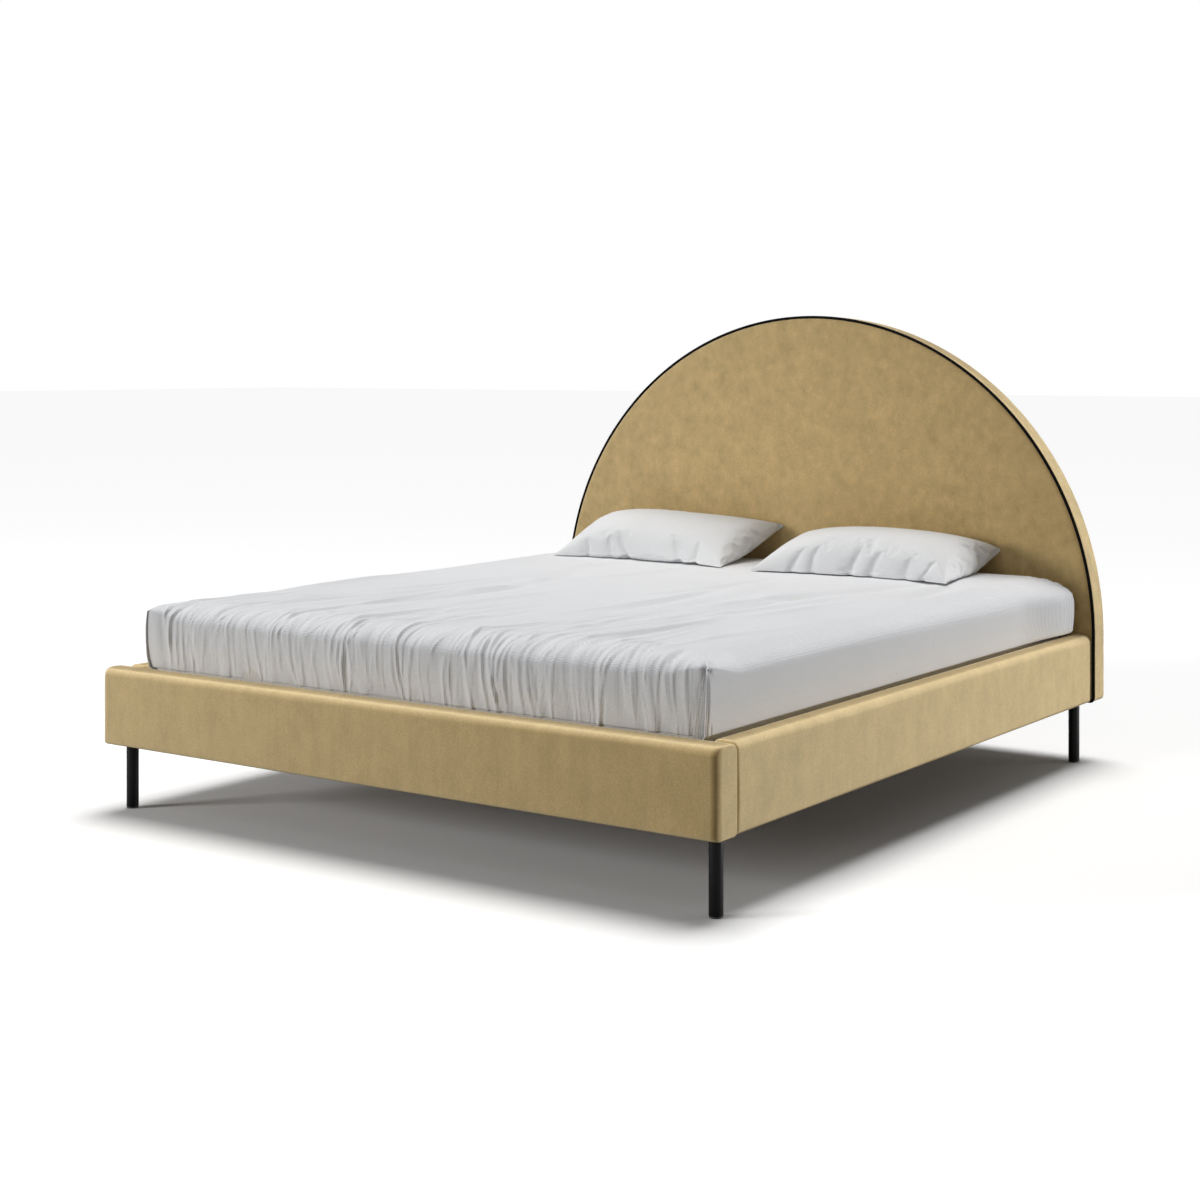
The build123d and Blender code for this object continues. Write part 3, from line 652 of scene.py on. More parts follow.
# %% The sheet's base form
sheet_columns = 370
fine_columns = 2 * sheet_columns
shoulder_reach = 0.10
shoulder_rows = 18
side_rows = 14
foot_round = 0.022
tuck = 0.17
sheet_top_z = sheet_high[2]
sheet_foot_z = sheet_low[2]
half_wide = (sheet_high[0] - sheet_low[0]) / 2
sheet_middle_y = (sheet_high[1] + sheet_low[1]) / 2
half_long = (sheet_high[1] - sheet_low[1]) / 2
corner_radii = (0.003, 0.003, 0.042, 0.042)

fine = np.linspace(0, 1, 4001)
place_on_length = fine * 2 * half_long
row_step = 0.007 + 0.030 * ease(place_on_length, 0.10, 0.75) * ease(place_on_length[::-1], 0.10, 0.45)
rows_so_far = np.concatenate([[0], np.cumsum(1 / row_step[1:])]) * half_long / 2000
sheet_rows = int(rows_so_far[-1])
along_steps = np.interp(np.linspace(0, rows_so_far[-1], sheet_rows + 1), rows_so_far, fine)
across_steps = np.linspace(0, 1, sheet_columns + 1)
across_foot = np.linspace(0, 1, fine_columns + 1)
fine_rows = int((along_steps * 2 * half_long < 0.12).sum())
print("the sheet's top has", sheet_rows, "rows, of which", fine_rows, "at the foot have twice as many columns")


# %% Rings round the top
def rounded_ring(half_x, half_y, radii, at_foot, along, at_head):
    """A rectangle with rounded corners, from corner middle to corner middle along each side."""
    sides = []
    places = ((-1, -1), (1, -1), (1, 1), (-1, 1))
    steps = (at_foot, along, at_head, 1 - along[::-1])
    for k in range(4):
        a, b = np.array(places[k], float), np.array(places[(k + 1) % 4], float)
        ra, rb = radii[k], radii[(k + 1) % 4]
        forward = (b - a) / 2
        outward = np.array([forward[1], -forward[0]])
        length = 2 * abs(forward @ (half_x, half_y))
        arc_a, arc_b = ra * np.pi / 4, rb * np.pi / 4
        straight = length - ra - rb
        s = (steps[k] * (arc_a + straight + arc_b))[:, None]
        corner_a = a * (half_x, half_y) + (forward - outward) * ra
        corner_b = b * (half_x, half_y) - (forward + outward) * rb
        angle_a = np.pi / 4 * (1 - np.clip(s / max(arc_a, 1e-9), 0, 1))
        angle_b = np.pi / 4 * np.clip((s - arc_a - straight) / max(arc_b, 1e-9), 0, 1)
        on_a = corner_a + ra * (outward * np.cos(angle_a) - forward * np.sin(angle_a))
        on_b = corner_b + rb * (outward * np.cos(angle_b) + forward * np.sin(angle_b))
        on_line = a * (half_x, half_y) + forward * (ra + s - arc_a)
        sides.append(np.where(s < arc_a, on_a, np.where(s > arc_a + straight, on_b, on_line))[:-1])
    return np.concatenate(sides)


roll = quarter(shoulder_rows + 1)
ring_insets = np.concatenate(
    [
        shoulder_reach * (1 - np.sin(roll)),
        np.zeros(side_rows),
        foot_round * (1 - np.cos(roll[::6][1:])),
        foot_round + (tuck - foot_round) * np.array([0.25, 0.6, 1.0]),
    ]
)
ring_plans = np.array(
    [
        rounded_ring(
            half_wide - inset,
            half_long - inset,
            [max(radius - inset, 0.001) for radius in corner_radii],
            across_foot,
            along_steps,
            across_steps,
        )
        for inset in ring_insets
    ]
)
edge_x, edge_y = ring_plans[shoulder_rows].T
past_foot = edge_y + half_long
past_side = half_wide - np.abs(edge_x)
from_corner = np.hypot(past_foot, past_side)
to_head = ease(past_foot, 0.5, 2 * half_long)
shoulder_drop = 0.026 + 0.030 * ease(from_corner, 0.01, 0.15) + 0.020 * to_head
side_low = sheet_foot_z + foot_round
side_high = sheet_top_z - shoulder_drop
groove_depths = np.array([0.030, 0.020, 0.012, 0.007, 0.004, 0.001, -0.003, -0.010])
groove_heights = np.append(rail_top_z + groove_depths, side_low)
falls = np.concatenate(
    [
        (sheet_top_z - shoulder_drop * (1 - np.cos(roll))[:, None]),
        side_high + (groove_heights[0] - side_high) * np.linspace(0, 1, 7)[1:, None],
        np.broadcast_to(groove_heights[1:, None], (8, len(edge_x))),
        np.broadcast_to((side_low - foot_round * np.sin(roll[::6][1:]))[:, None], (3, len(edge_x))),
        np.full((3, len(edge_x)), sheet_foot_z),
    ]
)
ring_points = np.concatenate([ring_plans, falls[..., None]], -1)
ring_points[..., 1] += sheet_middle_y


# %% The flat part of the top, and the joined grid
def level_grid(across, along):
    """Points over the flat part of the top."""
    level_x = (half_wide - shoulder_reach) * (2 * across - 1)
    level_y = sheet_middle_y + (half_long - shoulder_reach) * (2 * along - 1)
    return np.stack(np.broadcast_arrays(level_x, level_y[:, None], sheet_top_z), -1)


near_top = level_grid(across_foot, along_steps[:fine_rows])
far_top = level_grid(across_steps, along_steps[fine_rows:])
near = np.arange(near_top[..., 0].size).reshape(near_top.shape[:2])
far = near.size + np.arange(far_top[..., 0].size).reshape(far_top.shape[:2])
side_numbers = [np.concatenate([near[:, k], far[:, k]]) for k in (0, -1)]
border = np.concatenate([near[0, :-1], side_numbers[1][:-1], far[-1, :0:-1], side_numbers[0][:0:-1]])
fine_edge, coarse_edge = near[-1], far[0]
joining = np.concatenate(
    [
        np.stack([fine_edge[:-1:2], fine_edge[1::2], coarse_edge[1:], coarse_edge[:-1]], -1),
        np.stack([fine_edge[1::2], fine_edge[2::2], coarse_edge[1:], coarse_edge[1:]], -1),
    ]
)
flat_top = np.concatenate([near_top.reshape(-1, 3), far_top.reshape(-1, 3)])
flat_top[border] = ring_points[0]
sheet_points = np.concatenate([flat_top, ring_points[1:].reshape(-1, 3)])
ring_size = len(border)
ring_numbers = np.concatenate(
    [border[None], len(flat_top) + np.arange((len(ring_points) - 1) * ring_size).reshape(-1, ring_size)]
)
ring_numbers = np.hstack([ring_numbers, ring_numbers[:, :1]])
ring_quads = quads_of(ring_numbers)[:, [0, 3, 2, 1]]
sheet_faces = np.concatenate([grid_quads(*near.shape), near.size + grid_quads(*far.shape), joining, ring_quads])
print("the sheet's grid has", len(sheet_points), "points and", len(sheet_faces), "faces")


# %% [markdown]
# Every point also knows how far it lies down the cloth from the flat top. With that, a fold is a
# ridge along a line: across it the height falls off like a bell, and along it the fold fades in
# and out. All folds are heights along the surface's normal, and they are added up before any
# point moves.

# %% Where each point of the sheet lies
def surface_normals(points, faces):
    """The mean direction that the faces round each point look in."""
    a, b, c, d = (points[faces[:, k]] for k in range(4))
    face_normals = np.cross(c - a, d - b)
    normals = np.zeros_like(points)
    for k in range(4):
        for axis in range(3):
            normals[:, axis] += np.bincount(faces[:, k], face_normals[:, axis], len(points))
    return normals / np.maximum(np.linalg.norm(normals, axis=1, keepdims=True), 1e-12)


ring_steps = np.linalg.norm(np.diff(ring_points, axis=0), axis=2)
down_rings = np.concatenate([np.zeros((1, ring_size)), np.cumsum(ring_steps, axis=0)])
down = np.concatenate([np.zeros(len(flat_top)), down_rings[1:].ravel()])
x, y, z = sheet_points.T
from_foot = y - sheet_low[1]
from_head = sheet_high[1] - y
from_side = half_wide - np.abs(x)
beyond_top = down > 0
foot_path = np.where(beyond_top, down, shoulder_reach - from_foot)
foot_side = np.concatenate([np.ones(len(flat_top)), np.tile((past_foot < past_side), len(ring_points) - 1)])
on_foot = foot_side * ease(from_side - np.maximum(from_foot, 0), 0.016, 0.055)
print("the gathered foot face has", int((on_foot > 0.5).sum()), "points")


# %% [markdown]
# The foot face is gathered by the elastic under the mattress, so it is all pleats: unevenly
# spaced, swaying, some of them short. Fine wrinkles cross them.

# %% Pleats of the foot face
draws = np.random.default_rng(7)
fold_step = draws.uniform(0.013, 0.031, 150)
fold_x = np.cumsum(fold_step) - 0.868
fold_x = fold_x[fold_x < 0.845]
fold_count = len(fold_x)
fold_wide = draws.uniform(0.0032, 0.0056, fold_count)
fold_high = fold_wide * draws.uniform(0.35, 0.9, fold_count)
fold_high *= 0.8 + 0.6 * waves(fold_x, 0 * fold_x, 0.10, 1.0, 66)
fold_start = draws.uniform(-0.06, 0.02, fold_count)
late = draws.uniform(0, 1, fold_count) < 0.3
fold_start = np.where(late, draws.uniform(0.03, 0.13, fold_count), fold_start)
short_fold = draws.uniform(0, 1, fold_count) < 0.25
fold_end = np.where(short_fold, draws.uniform(0.16, 0.25, fold_count), 1.0)
fold_lean = draws.normal(-0.02, 0.09, fold_count)
region = (foot_path > -0.2) & (on_foot > 0) & (down < 0.45)
path_here, x_here = foot_path[region], x[region]
bow = 0.010 * ease(path_here, 0.16, 0.26) + 0.007 * (1 - ease(path_here, -0.02, 0.10))
x_here = x_here - bow
pleats = 0.0034 * waves(x_here, path_here, 0.024, 0.09, 65) * ease(path_here, -0.02, 0.08)
for k in range(fold_count):
    sway = 0.006 * waves(fold_x[k], path_here, 0.13, 0.11, 61)
    sway += 0.0028 * waves(fold_x[k], path_here, 0.02, 0.08, 60) + fold_lean[k] * (path_here - 0.12)
    offset = (x_here - fold_x[k] - sway) / fold_wide[k]
    bell = np.exp(-(np.abs(offset) ** 1.6)) - 0.4 * np.exp(-(((offset - 1.6) / 0.9) ** 2))
    fade = ease(path_here, fold_start[k] - 0.05, fold_start[k] + 0.07)
    fade = fade * (1 - ease(path_here, fold_end[k] - 0.06, fold_end[k]))
    strength = 0.75 + 0.55 * waves(fold_x[k], path_here, 0.05, 0.04, 62)
    pleats += fold_high[k] * bell * fade * strength
wrinkle_count = 130
wrinkle_x = draws.uniform(-0.85, 0.85, wrinkle_count)
wrinkle_at = draws.uniform(-0.02, 0.22, wrinkle_count)
wrinkle_turn = draws.normal(0.0, 0.28, wrinkle_count)
wrinkle_long = draws.uniform(0.02, 0.05, wrinkle_count)
wrinkle_wide = draws.uniform(0.0026, 0.0042, wrinkle_count)
wrinkle_high = wrinkle_wide * draws.uniform(0.3, 0.8, wrinkle_count)
for k in range(wrinkle_count):
    run = path_here - wrinkle_at[k]
    across = x_here - wrinkle_x[k] - wrinkle_turn[k] * run - 3.0 * wrinkle_turn[k] * run * run
    pleats += wrinkle_high[k] * np.exp(-((across / wrinkle_wide[k]) ** 2) - (run / wrinkle_long[k]) ** 2)
gathers = np.zeros(len(sheet_points))
gathers[region] = pleats * on_foot[region]
gathers += 0.0025 * waves(x, foot_path, 0.07, 0.09, 63) * on_foot * ease(foot_path, 0.02, 0.10)
print("the foot face has", fold_count, "pleats and", wrinkle_count, "wrinkles")


# %% [markdown]
# On the top the cloth was pulled straight by hand, which leaves long creases that start at the
# foot and are wider the further up they lie. A few short ones run out from the foot corners, and
# the whole top settles into broad, shallow waves.

# %% Creases of the top
crease_count = 90
creases = np.zeros(len(sheet_points))
crease_x = draws.uniform(-0.82, 0.8, crease_count)
crease_y = sheet_low[1] + 0.03 + 1.5 * draws.uniform(0, 1, crease_count) ** 2.2
crease_turn = draws.normal(0.12, 0.13, crease_count)
crease_long = draws.uniform(0.07, 0.40, crease_count)
crease_wide = draws.uniform(0.006, 0.012, crease_count)
crease_wide = crease_wide + 0.02 * (crease_y - sheet_low[1]) * draws.uniform(0.4, 1.2, crease_count)
crease_high = crease_wide * draws.uniform(0.15, 0.30, crease_count) * draws.choice([-0.7, 1.0, 1.0], crease_count)
for k in range(crease_count):
    run = (x - crease_x[k]) * np.sin(crease_turn[k]) + (y - crease_y[k]) * np.cos(crease_turn[k])
    side = (x - crease_x[k]) * np.cos(crease_turn[k]) - (y - crease_y[k]) * np.sin(crease_turn[k])
    side = side + 0.10 * run * run / crease_long[k]
    creases += crease_high[k] * np.exp(-((side / crease_wide[k]) ** 2) - (run / crease_long[k]) ** 4)

corner_way = np.arctan2(from_foot - 0.01, from_side - 0.01)
corner_far = np.hypot(from_foot, from_side)
corner_creases = (
    (0.28, 0.0022, 0.006, 0.12),
    (0.62, 0.0016, 0.007, 0.10),
    (1.05, 0.0024, 0.008, 0.15),
    (1.36, 0.0018, 0.006, 0.11),
)
for way, high, wide, reach in corner_creases:
    across = (corner_way - way) * corner_far
    fade = ease(corner_far, 0.015, 0.04) * (1 - ease(corner_far, 0.05, reach))
    creases += high * np.exp(-((across / wide) ** 2)) * fade
creases *= np.where(beyond_top, np.exp(-((down / 0.09) ** 2)), 1.0)

settle = 0.0032 * waves(x, y, 0.36, 0.50, 71) + 0.0015 * waves(x, y, 0.15, 0.26, 72)
settle *= np.where(beyond_top, np.exp(-down / 0.09), 1.0)
print("the top has", crease_count, "creases, of at most", round(float(creases.max()), 4), "m")


# %% [markdown]
# The sides are nearly smooth. Beside the right corner seam the cloth dips into a valley, at the
# head corners it bunches, and all round it draws in where it goes down into the well. Last, each
# point moves along its normal by the sum of all heights, and the head of the mattress bulges.

# %% The sheet's sides, and all heights together
side_face = np.concatenate([np.zeros(len(flat_top)), np.tile(1.0 * (past_side < past_foot), len(ring_points) - 1)])
side_swell = side_face * (0.0014 * waves(y, z, 0.24, 0.16, 73) + 0.0006 * waves(y, z, 0.06, 0.3, 74))

low_part = ease(down, 0.12, 0.24)
valley_wide = 0.011 + 0.020 * low_part
valley = np.exp(-((np.maximum(from_side - 0.003, 0) / valley_wide) ** 2)) * ease(from_side, 0.0, 0.0022)
hollow = -(0.0135 + 0.003 * low_part) * valley * foot_side * ease(down, 0.07, 0.12) * np.where(x > 0, 1.0, 0.2)
hollow -= 0.0070 * (x > 0) * np.exp(-(((corner_far - 0.010) / 0.008) ** 2) - ((z - 0.520) / 0.008) ** 2)
beside_seam = np.exp(-(((from_foot - 0.020) / 0.012) ** 2)) * side_face
hollow -= 0.0050 * beside_seam * ease(down, 0.02, 0.07) * (1 - ease(down, 0.10, 0.17))

at_head = ease(0.16 - from_head, 0.0, 0.10) * side_face * ease(0.12 - from_head, 0, 0.04)
bunches = 0.0030 * np.sin(np.clip(0.16 - from_head, 0, 1) ** 1.3 * 900 + 12 * z) * at_head

depth_in_well = 1 - ease(z, 0.345, 0.372)
lift = gathers + creases + settle + side_swell + hollow + bunches - 0.0018
groove = 0.012 * (1 - ease(z, 0.366, 0.375)) + 0.005 * (1 - ease(z, 0.37, 0.45))
groove = groove * beyond_top * (z > sheet_foot_z + 0.01)
lift = lift * (1 - 0.85 * depth_in_well * beyond_top) - 0.0006 * depth_in_well - groove
sheet_points = sheet_points + surface_normals(sheet_points, sheet_faces) * lift[:, None]
belly = 0.036 * ease(0.34 - from_head, 0.0, 0.28) * ease(z, 0.372, 0.386) * (1 - 0.7 * ease(z, 0.50, 0.55))
sheet_points[:, 0] += np.sign(x) * belly * ease(from_side, 0.14, 0.0)
left_corner = (x < 0) * np.exp(-((from_foot / 0.22) ** 2)) * ease(z, 0.372, 0.40) * (1 - ease(z, 0.48, 0.54))
sheet_points[:, 0] -= 0.0065 * left_corner * ease(from_side, 0.10, 0.0)
proud = 0.010 * ease(sheet_points[:, 2], 0.366, 0.39)
sheet_points[:, 1] = np.clip(sheet_points[:, 1], foot_high[1] + 0.0005 - proud, headboard_front_y - 0.0012)
sheet_polygons = [face[:3] if face[2] == face[3] else face for face in sheet_faces.tolist()]
sheet_piece = mesh_piece("bed_sheet", sheet_points, sheet_polygons, sheet_cotton, "mattress")
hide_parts("fitted_sheet")


# %% [markdown]
# A fitted sheet is sewn into a box at its corners. The seam allowance stands up as a thin ridge
# down each corner, so a slim tube follows the corner line of the sheet from its tip downwards.

# %% Corner seams of the sheet
seam_points, seam_faces = [], []
around = circle(12)
for column, seam_radius in ((0, 0.0012), (fine_columns, 0.0027)):
    line = ring_numbers[shoulder_rows - 1 : shoulder_rows + side_rows + 1, column]
    path = sheet_points[line]
    outward = np.array([np.sign(path[0, 0]), -1.0, 0.0]) / 2**0.5
    aside = np.array([outward[1], -outward[0], 0.0])
    swell = seam_radius * np.clip(np.linspace(0, 6, len(path)), 0.2, 1)[:, None, None]
    ring = np.cos(around)[:, None] * outward * 1.2 + np.sin(around)[:, None] * aside
    seam = path[:, None] + outward * seam_radius * 0.4 + ring * swell
    start = len(seam_points) * seam[..., 0].size
    faces = grid_faces(seam, wrap_columns=True, caps=True, flip=column == 0)
    seam_faces += [[start + n for n in face] for face in faces]
    seam_points.append(seam)
seam_piece = mesh_piece("sheet_seams", np.array(seam_points), seam_faces, sheet_cotton, "mattress")


# %% [markdown]
# Under the sheet lies the mattress in its ticking. It is only seen where the sheet's hem ends, and
# it is the sheet's own form, a centimetre smaller.

# %% Mattress under the sheet
cover_gap = 0.010
cover_roll = quarter(8)
cover_top = sheet_top_z - cover_gap
cover_shoulder = cover_top - 0.055 * (1 - np.cos(cover_roll))
cover_insets = np.concatenate([0.10 * (1 - np.sin(cover_roll)), np.zeros(4), [0.006, 0.022, 0.060]])
cover_side = np.linspace(cover_shoulder[-1], sheet_foot_z + 0.022, 5)[1:]
cover_heights = np.concatenate([cover_shoulder, cover_side, sheet_foot_z + np.array([0.008, 0.002, 0.002])])
cover_steps = [np.linspace(0, 1, count) for count in (91, 101, 91)]
cover_rings = np.array(
    [
        rounded_ring(
            half_wide - inset - cover_gap,
            half_long - inset - cover_gap,
            [max(0.035 - inset, 0.002)] * 4,
            *cover_steps,
        )
        for inset in cover_insets
    ]
)
cover_z = np.broadcast_to(cover_heights[:, None, None], cover_rings.shape[:2] + (1,))
cover = np.concatenate([cover_rings, cover_z], -1)
cover[..., 1] += sheet_middle_y
cover_faces = grid_faces(cover, wrap_columns=True, caps=True, flip=True)
mattress = mesh_piece("mattress_cover", cover, cover_faces, ticking_cloth, "mattress")
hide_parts("mattress_ticking", "mattress_core")


# %% [markdown]
# A pillow is two rectangles of cloth sewn together and stuffed. It could be modelled by hand, but
# cloth that is blown up finds its own small creases. So it starts as a crowned form that is too
# thin, with the front seam nipped in where the photograph shows folds, and the cloth solver
# swells it. Both cloths are grids that share their border, which is the seam.

# %% Pillow form
pillow_rows, pillow_columns = 65, 97


def two_cloths(rows, columns):
    """The point numbers of an upper and a lower grid that share their border, and all the faces."""
    upper = np.arange(rows * columns).reshape(rows, columns)
    lower = upper.copy()
    lower[1:-1, 1:-1] = upper.size + np.arange((rows - 2) * (columns - 2)).reshape(rows - 2, columns - 2)
    return upper, lower, np.concatenate([quads_of(upper), quads_of(lower)[:, ::-1]])


def graded(count):
    """Steps from minus one to one that are finer at both ends, where the cloth bends most."""
    even = np.linspace(-1, 1, count)
    return 0.45 * even + 0.55 * np.sin(np.pi * even / 2)


def crowned(a, b, length, run, form):
    """Outline and half thickness: a loft that leans to one end and to the front, times
    (1 - |a|^p)^q and (1 - |b|^r)^s. The sides draw in between the corners."""
    loft, end_lean, ends, front_lean, p, q, r, s, waist = form
    rise = loft * (1 + end_lean * a + ends * a * a) * (1 + front_lean * b)
    rise = rise * (1 - np.abs(a) ** p) ** q * (1 - np.abs(b) ** r) ** s
    x = a * length / 2 * (1 - waist * (1 - b * b))
    y = b * run / 2 * (1 - waist * (1 - a * a))
    return x, y, rise


def pinched(a, b, length, run, pinches, depth):
    """How far the upper cloth dips at each pinch of the front seam, and how far the seam draws in."""
    along, up = (a + 1) * length / 2, (b + 1) * run / 2
    dip, tug = np.zeros_like(a), np.zeros_like(a)
    for place, lean, strength in pinches:
        across = (along - place - lean * up) / (0.009 + 0.08 * up)
        dip += strength * np.exp(-across * across) * ease(up, 0.0, 0.015) * (1 - ease(up, 0.04, 0.13))
        tug += strength * np.exp(-(((along - place) / 0.014) ** 2)) * np.exp(-up / 0.03)
    return depth * dip, depth * tug


# %% Swelling by the cloth solver
def swell(points, faces, pressure, frames, most):
    """Blows cloth up from inside, and lets no point move further than the most."""
    mesh = bpy.data.meshes.new("swelling")
    mesh.from_pydata(points.tolist(), [], faces.tolist())
    case = bpy.data.objects.new("swelling", mesh)
    scene = bpy.context.scene
    scene.collection.objects.link(case)
    cloth = case.modifiers.new("cloth", "CLOTH")
    settings = cloth.settings
    settings.quality = 6
    settings.mass = 0.2
    settings.tension_stiffness = settings.compression_stiffness = 20
    settings.shear_stiffness = 6
    settings.bending_stiffness = 0.4
    settings.tension_damping = settings.compression_damping = settings.shear_damping = 10
    settings.bending_damping = 1
    settings.air_damping = 3
    settings.shrink_min = -0.01
    settings.use_pressure = True
    settings.uniform_pressure_force = pressure
    settings.effector_weights.gravity = 0
    cloth.collision_settings.use_collision = False
    cloth.collision_settings.use_self_collision = False
    cloth.point_cache.frame_end = frames
    for frame_number in range(1, frames + 1):
        scene.frame_set(frame_number)
    swollen = case.evaluated_get(bpy.context.evaluated_depsgraph_get())
    result = np.empty(len(points) * 3)
    swollen.data.vertices.foreach_get("co", result)
    scene.frame_set(1)
    bpy.data.objects.remove(case, do_unlink=True)
    moved = result.reshape(-1, 3) - points
    far = np.linalg.norm(moved, axis=1, keepdims=True)
    print("the cloth moved", np.median(far).round(4), "as a rule, and", far.max().round(4), "at most")
    return points + moved * np.minimum(1.0, most / np.maximum(far, 1e-9))


def refine(grid):
    """Adds a point between each two neighbours, on the cubic curve through the four nearest."""
    for axis in (0, 1):
        old = np.moveaxis(grid, axis, 0)
        longer = np.concatenate([2 * old[:1] - old[1:2], old, 2 * old[-1:] - old[-2:-1]])
        between = (9 * (longer[1:-2] + longer[2:-1]) - longer[:-3] - longer[3:]) / 16
        new = np.empty((2 * len(old) - 1,) + old.shape[1:])
        new[::2] = old
        new[1::2] = between
        grid = np.moveaxis(new, 0, axis)
    return grid


# %% [markdown]
# Each pillow leans: its front seam lies on the mattress and its rear seam on the headboard. The
# swollen form is stretched to its four corners, laid on that slope, and pressed flat below and
# behind. The numbers of each pillow were fitted to its outline in the photograph.

# %% Pillows
def lay_pillow(name, side, rise, form, pinches, pinch_depth, fullness, pillow_corners, seed):
    """Makes one pillow in the place of its solid."""
    low, high = corners(side + "_pillowcase")
    length, depth = high[0] - low[0], high[1] - low[1]
    run = np.hypot(depth, rise)
    a, b = np.meshgrid(graded(pillow_columns), graded(pillow_rows))
    upper, lower, faces = two_cloths(pillow_rows, pillow_columns)
    x, y, half = crowned(a, b, length, run, form)
    dip, tug = pinched(a, b, length, run, pinches, pinch_depth)
    half = half * 0.7
    soft = 0.0012 * waves(x, y, 0.035, 0.035, seed) * np.clip(half / 0.02, 0, 1)
    points = np.zeros((lower.max() + 1, 3))
    points[lower] = np.stack([x, y + tug, soft - half + 0.6 * tug], -1)
    points[upper] = np.stack([x, y + tug, soft + half - dip + 0.6 * tug], -1)
    gain = np.ones_like(a)
    points = swell(points, faces, 3.0, 20, 0.05)
    whole, end_lean, ends, front_lean, front_and_back = fullness
    gain = whole * (1 + end_lean * a + ends * a * a)
    gain = gain * (1 + front_lean * b + front_and_back * b * b)
    middle = np.array([(low[0] + high[0]) / 2, high[1] - depth / 2, low[2] + rise / 2])
    wanted = (np.array(pillow_corners) - middle[:2]) * (1.0, run / depth)
    shift = wanted - points[upper[[0, 0, -1, -1], [0, -1, 0, -1]], :2]
    share = np.stack([(1 - a) * (1 - b), (1 + a) * (1 - b), (1 - a) * (1 + b), (1 + a) * (1 + b)], -1) / 4
    along, up = np.array([0.0, depth, rise]) / run, np.array([0.0, -rise, depth]) / run
    cloths = []
    for numbers in (lower, upper):
        cloth = points[numbers]
        cloth[..., :2] += share @ shift
        cloth[..., 2] *= gain
        cloth = refine(cloth)
        cloth = middle + cloth[..., :1] * (1.0, 0.0, 0.0) + cloth[..., 1:2] * along + cloth[..., 2:] * up
        cloth[..., 1] = np.minimum(cloth[..., 1], high[1])
        cloth[..., 2] = np.maximum(cloth[..., 2], low[2] + 0.0006)
        cloths.append(cloth)
    upper, lower, faces = two_cloths(*cloths[0].shape[:2])
    points = np.zeros((lower.max() + 1, 3))
    points[lower], points[upper] = cloths
    piece = mesh_piece(name, points, faces, pillow_cotton, side + "_pillow")
    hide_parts(side + "_pillowcase", side + "_pillow_filling")


lay_pillow(
    "left_pillow_cushion",
    "left",
    0.1014,
    form=(0.0767, -0.20, 0.094, 0.171, 2.94, 0.60, 1.92, 0.77, 0.017),
    pinches=[(0.120, -0.1, 0.7), (0.205, -0.25, 0.6), (0.262, -0.5, 1.2), (0.470, -0.45, 0.9), (0.535, -0.15, 1.1)],
    pinch_depth=0.0065,
    fullness=(0.7676, -0.151, 0.182, 0.118, -0.317),
    pillow_corners=((-0.7305, 0.6085), (-0.082, 0.6050), (-0.7335, 1.0075), (-0.0875, 1.0075)),
    seed=81,
)
lay_pillow(
    "right_pillow_cushion",
    "right",
    0.0640,
    form=(0.089, -0.018, 0.0, -0.017, 3.02, 0.60, 2.34, 0.85, 0.010),
    pinches=[
        (0.125, 0.3, 0.6), (0.190, 0.0, 0.7), (0.312, 0.25, 1.3), (0.385, 0.2, 0.9),
        (0.50, 0.0, 0.6), (0.56, 0.3, 0.5),
    ],
    pinch_depth=0.0070,
    fullness=(0.8347, -0.028, 0.167, -0.023, -0.137),
    pillow_corners=((0.0360, 0.5790), (0.6875, 0.5800), (0.0360, 1.0075), (0.6690, 1.0075)),
    seed=82,
)


# %% [markdown]
# Hexagon coach screws with washers hold the corner brackets to the rails, and small round-headed
# screws hold the beam hangers and the ledges. Each head is a stack of rings on its own axis: round
# for the washer, and drawn out to six flats for the hexagon.

# %% Screws
def screw_heads(name, spots, axes, heights, radii, six_sided):
    """Heads on the given spots. A hexagon's radius is its flat's distance over the cosine of the
    angle to the middle of that flat."""
    around = circle(36)
    to_flat = np.mod(around, np.pi / 3) - np.pi / 6
    radius = np.asarray(radii)[:, None] * (1 + np.outer(six_sided, 1 / np.cos(to_flat) - 1))
    upward = np.array([0.0, 0.0, 1.0])
    shells = []
    for spot, axis in zip(spots, np.array(axes)):
        ring = spot + np.asarray(heights)[:, None, None] * axis
        ring = ring + (radius * np.cos(around))[..., None] * np.cross(upward, axis)
        shells.append(ring + (radius * np.sin(around))[..., None] * upward)
    faces = shell_faces(shells, wrap_columns=True, caps=True)
    mesh_piece(name, np.array(shells), faces, bright_zinc, "frame", smooth=False)


bracket_low, bracket_high = corners("corner_brackets")
screw_edge, screw_across, plate = 0.018, 0.042, 0.004
coach_spots, coach_axes = [], []
for end_y, inward in ((bracket_low[1], 1.0), (bracket_high[1], -1.0)):
    for side in (-1.0, 1.0):
        for height in (bracket_low[2] + screw_edge, bracket_high[2] - screw_edge):
            coach_spots.append((side * (bracket_high[0] - plate), end_y + inward * screw_across, height))
            coach_axes.append((-side, 0.0, 0.0))
            coach_spots.append((side * (bracket_high[0] - screw_across), end_y + inward * plate, height))
            coach_axes.append((0.0, inward, 0.0))
coach_heights = (0.0, 0.0014, 0.0017, 0.0018, 0.0062, 0.0070)
coach_radii = (0.0105, 0.0105, 0.0102, 0.0065, 0.0065, 0.0056)
screw_heads("coach_screws", coach_spots, coach_axes, coach_heights, coach_radii, (0, 0, 0, 1, 1, 0))

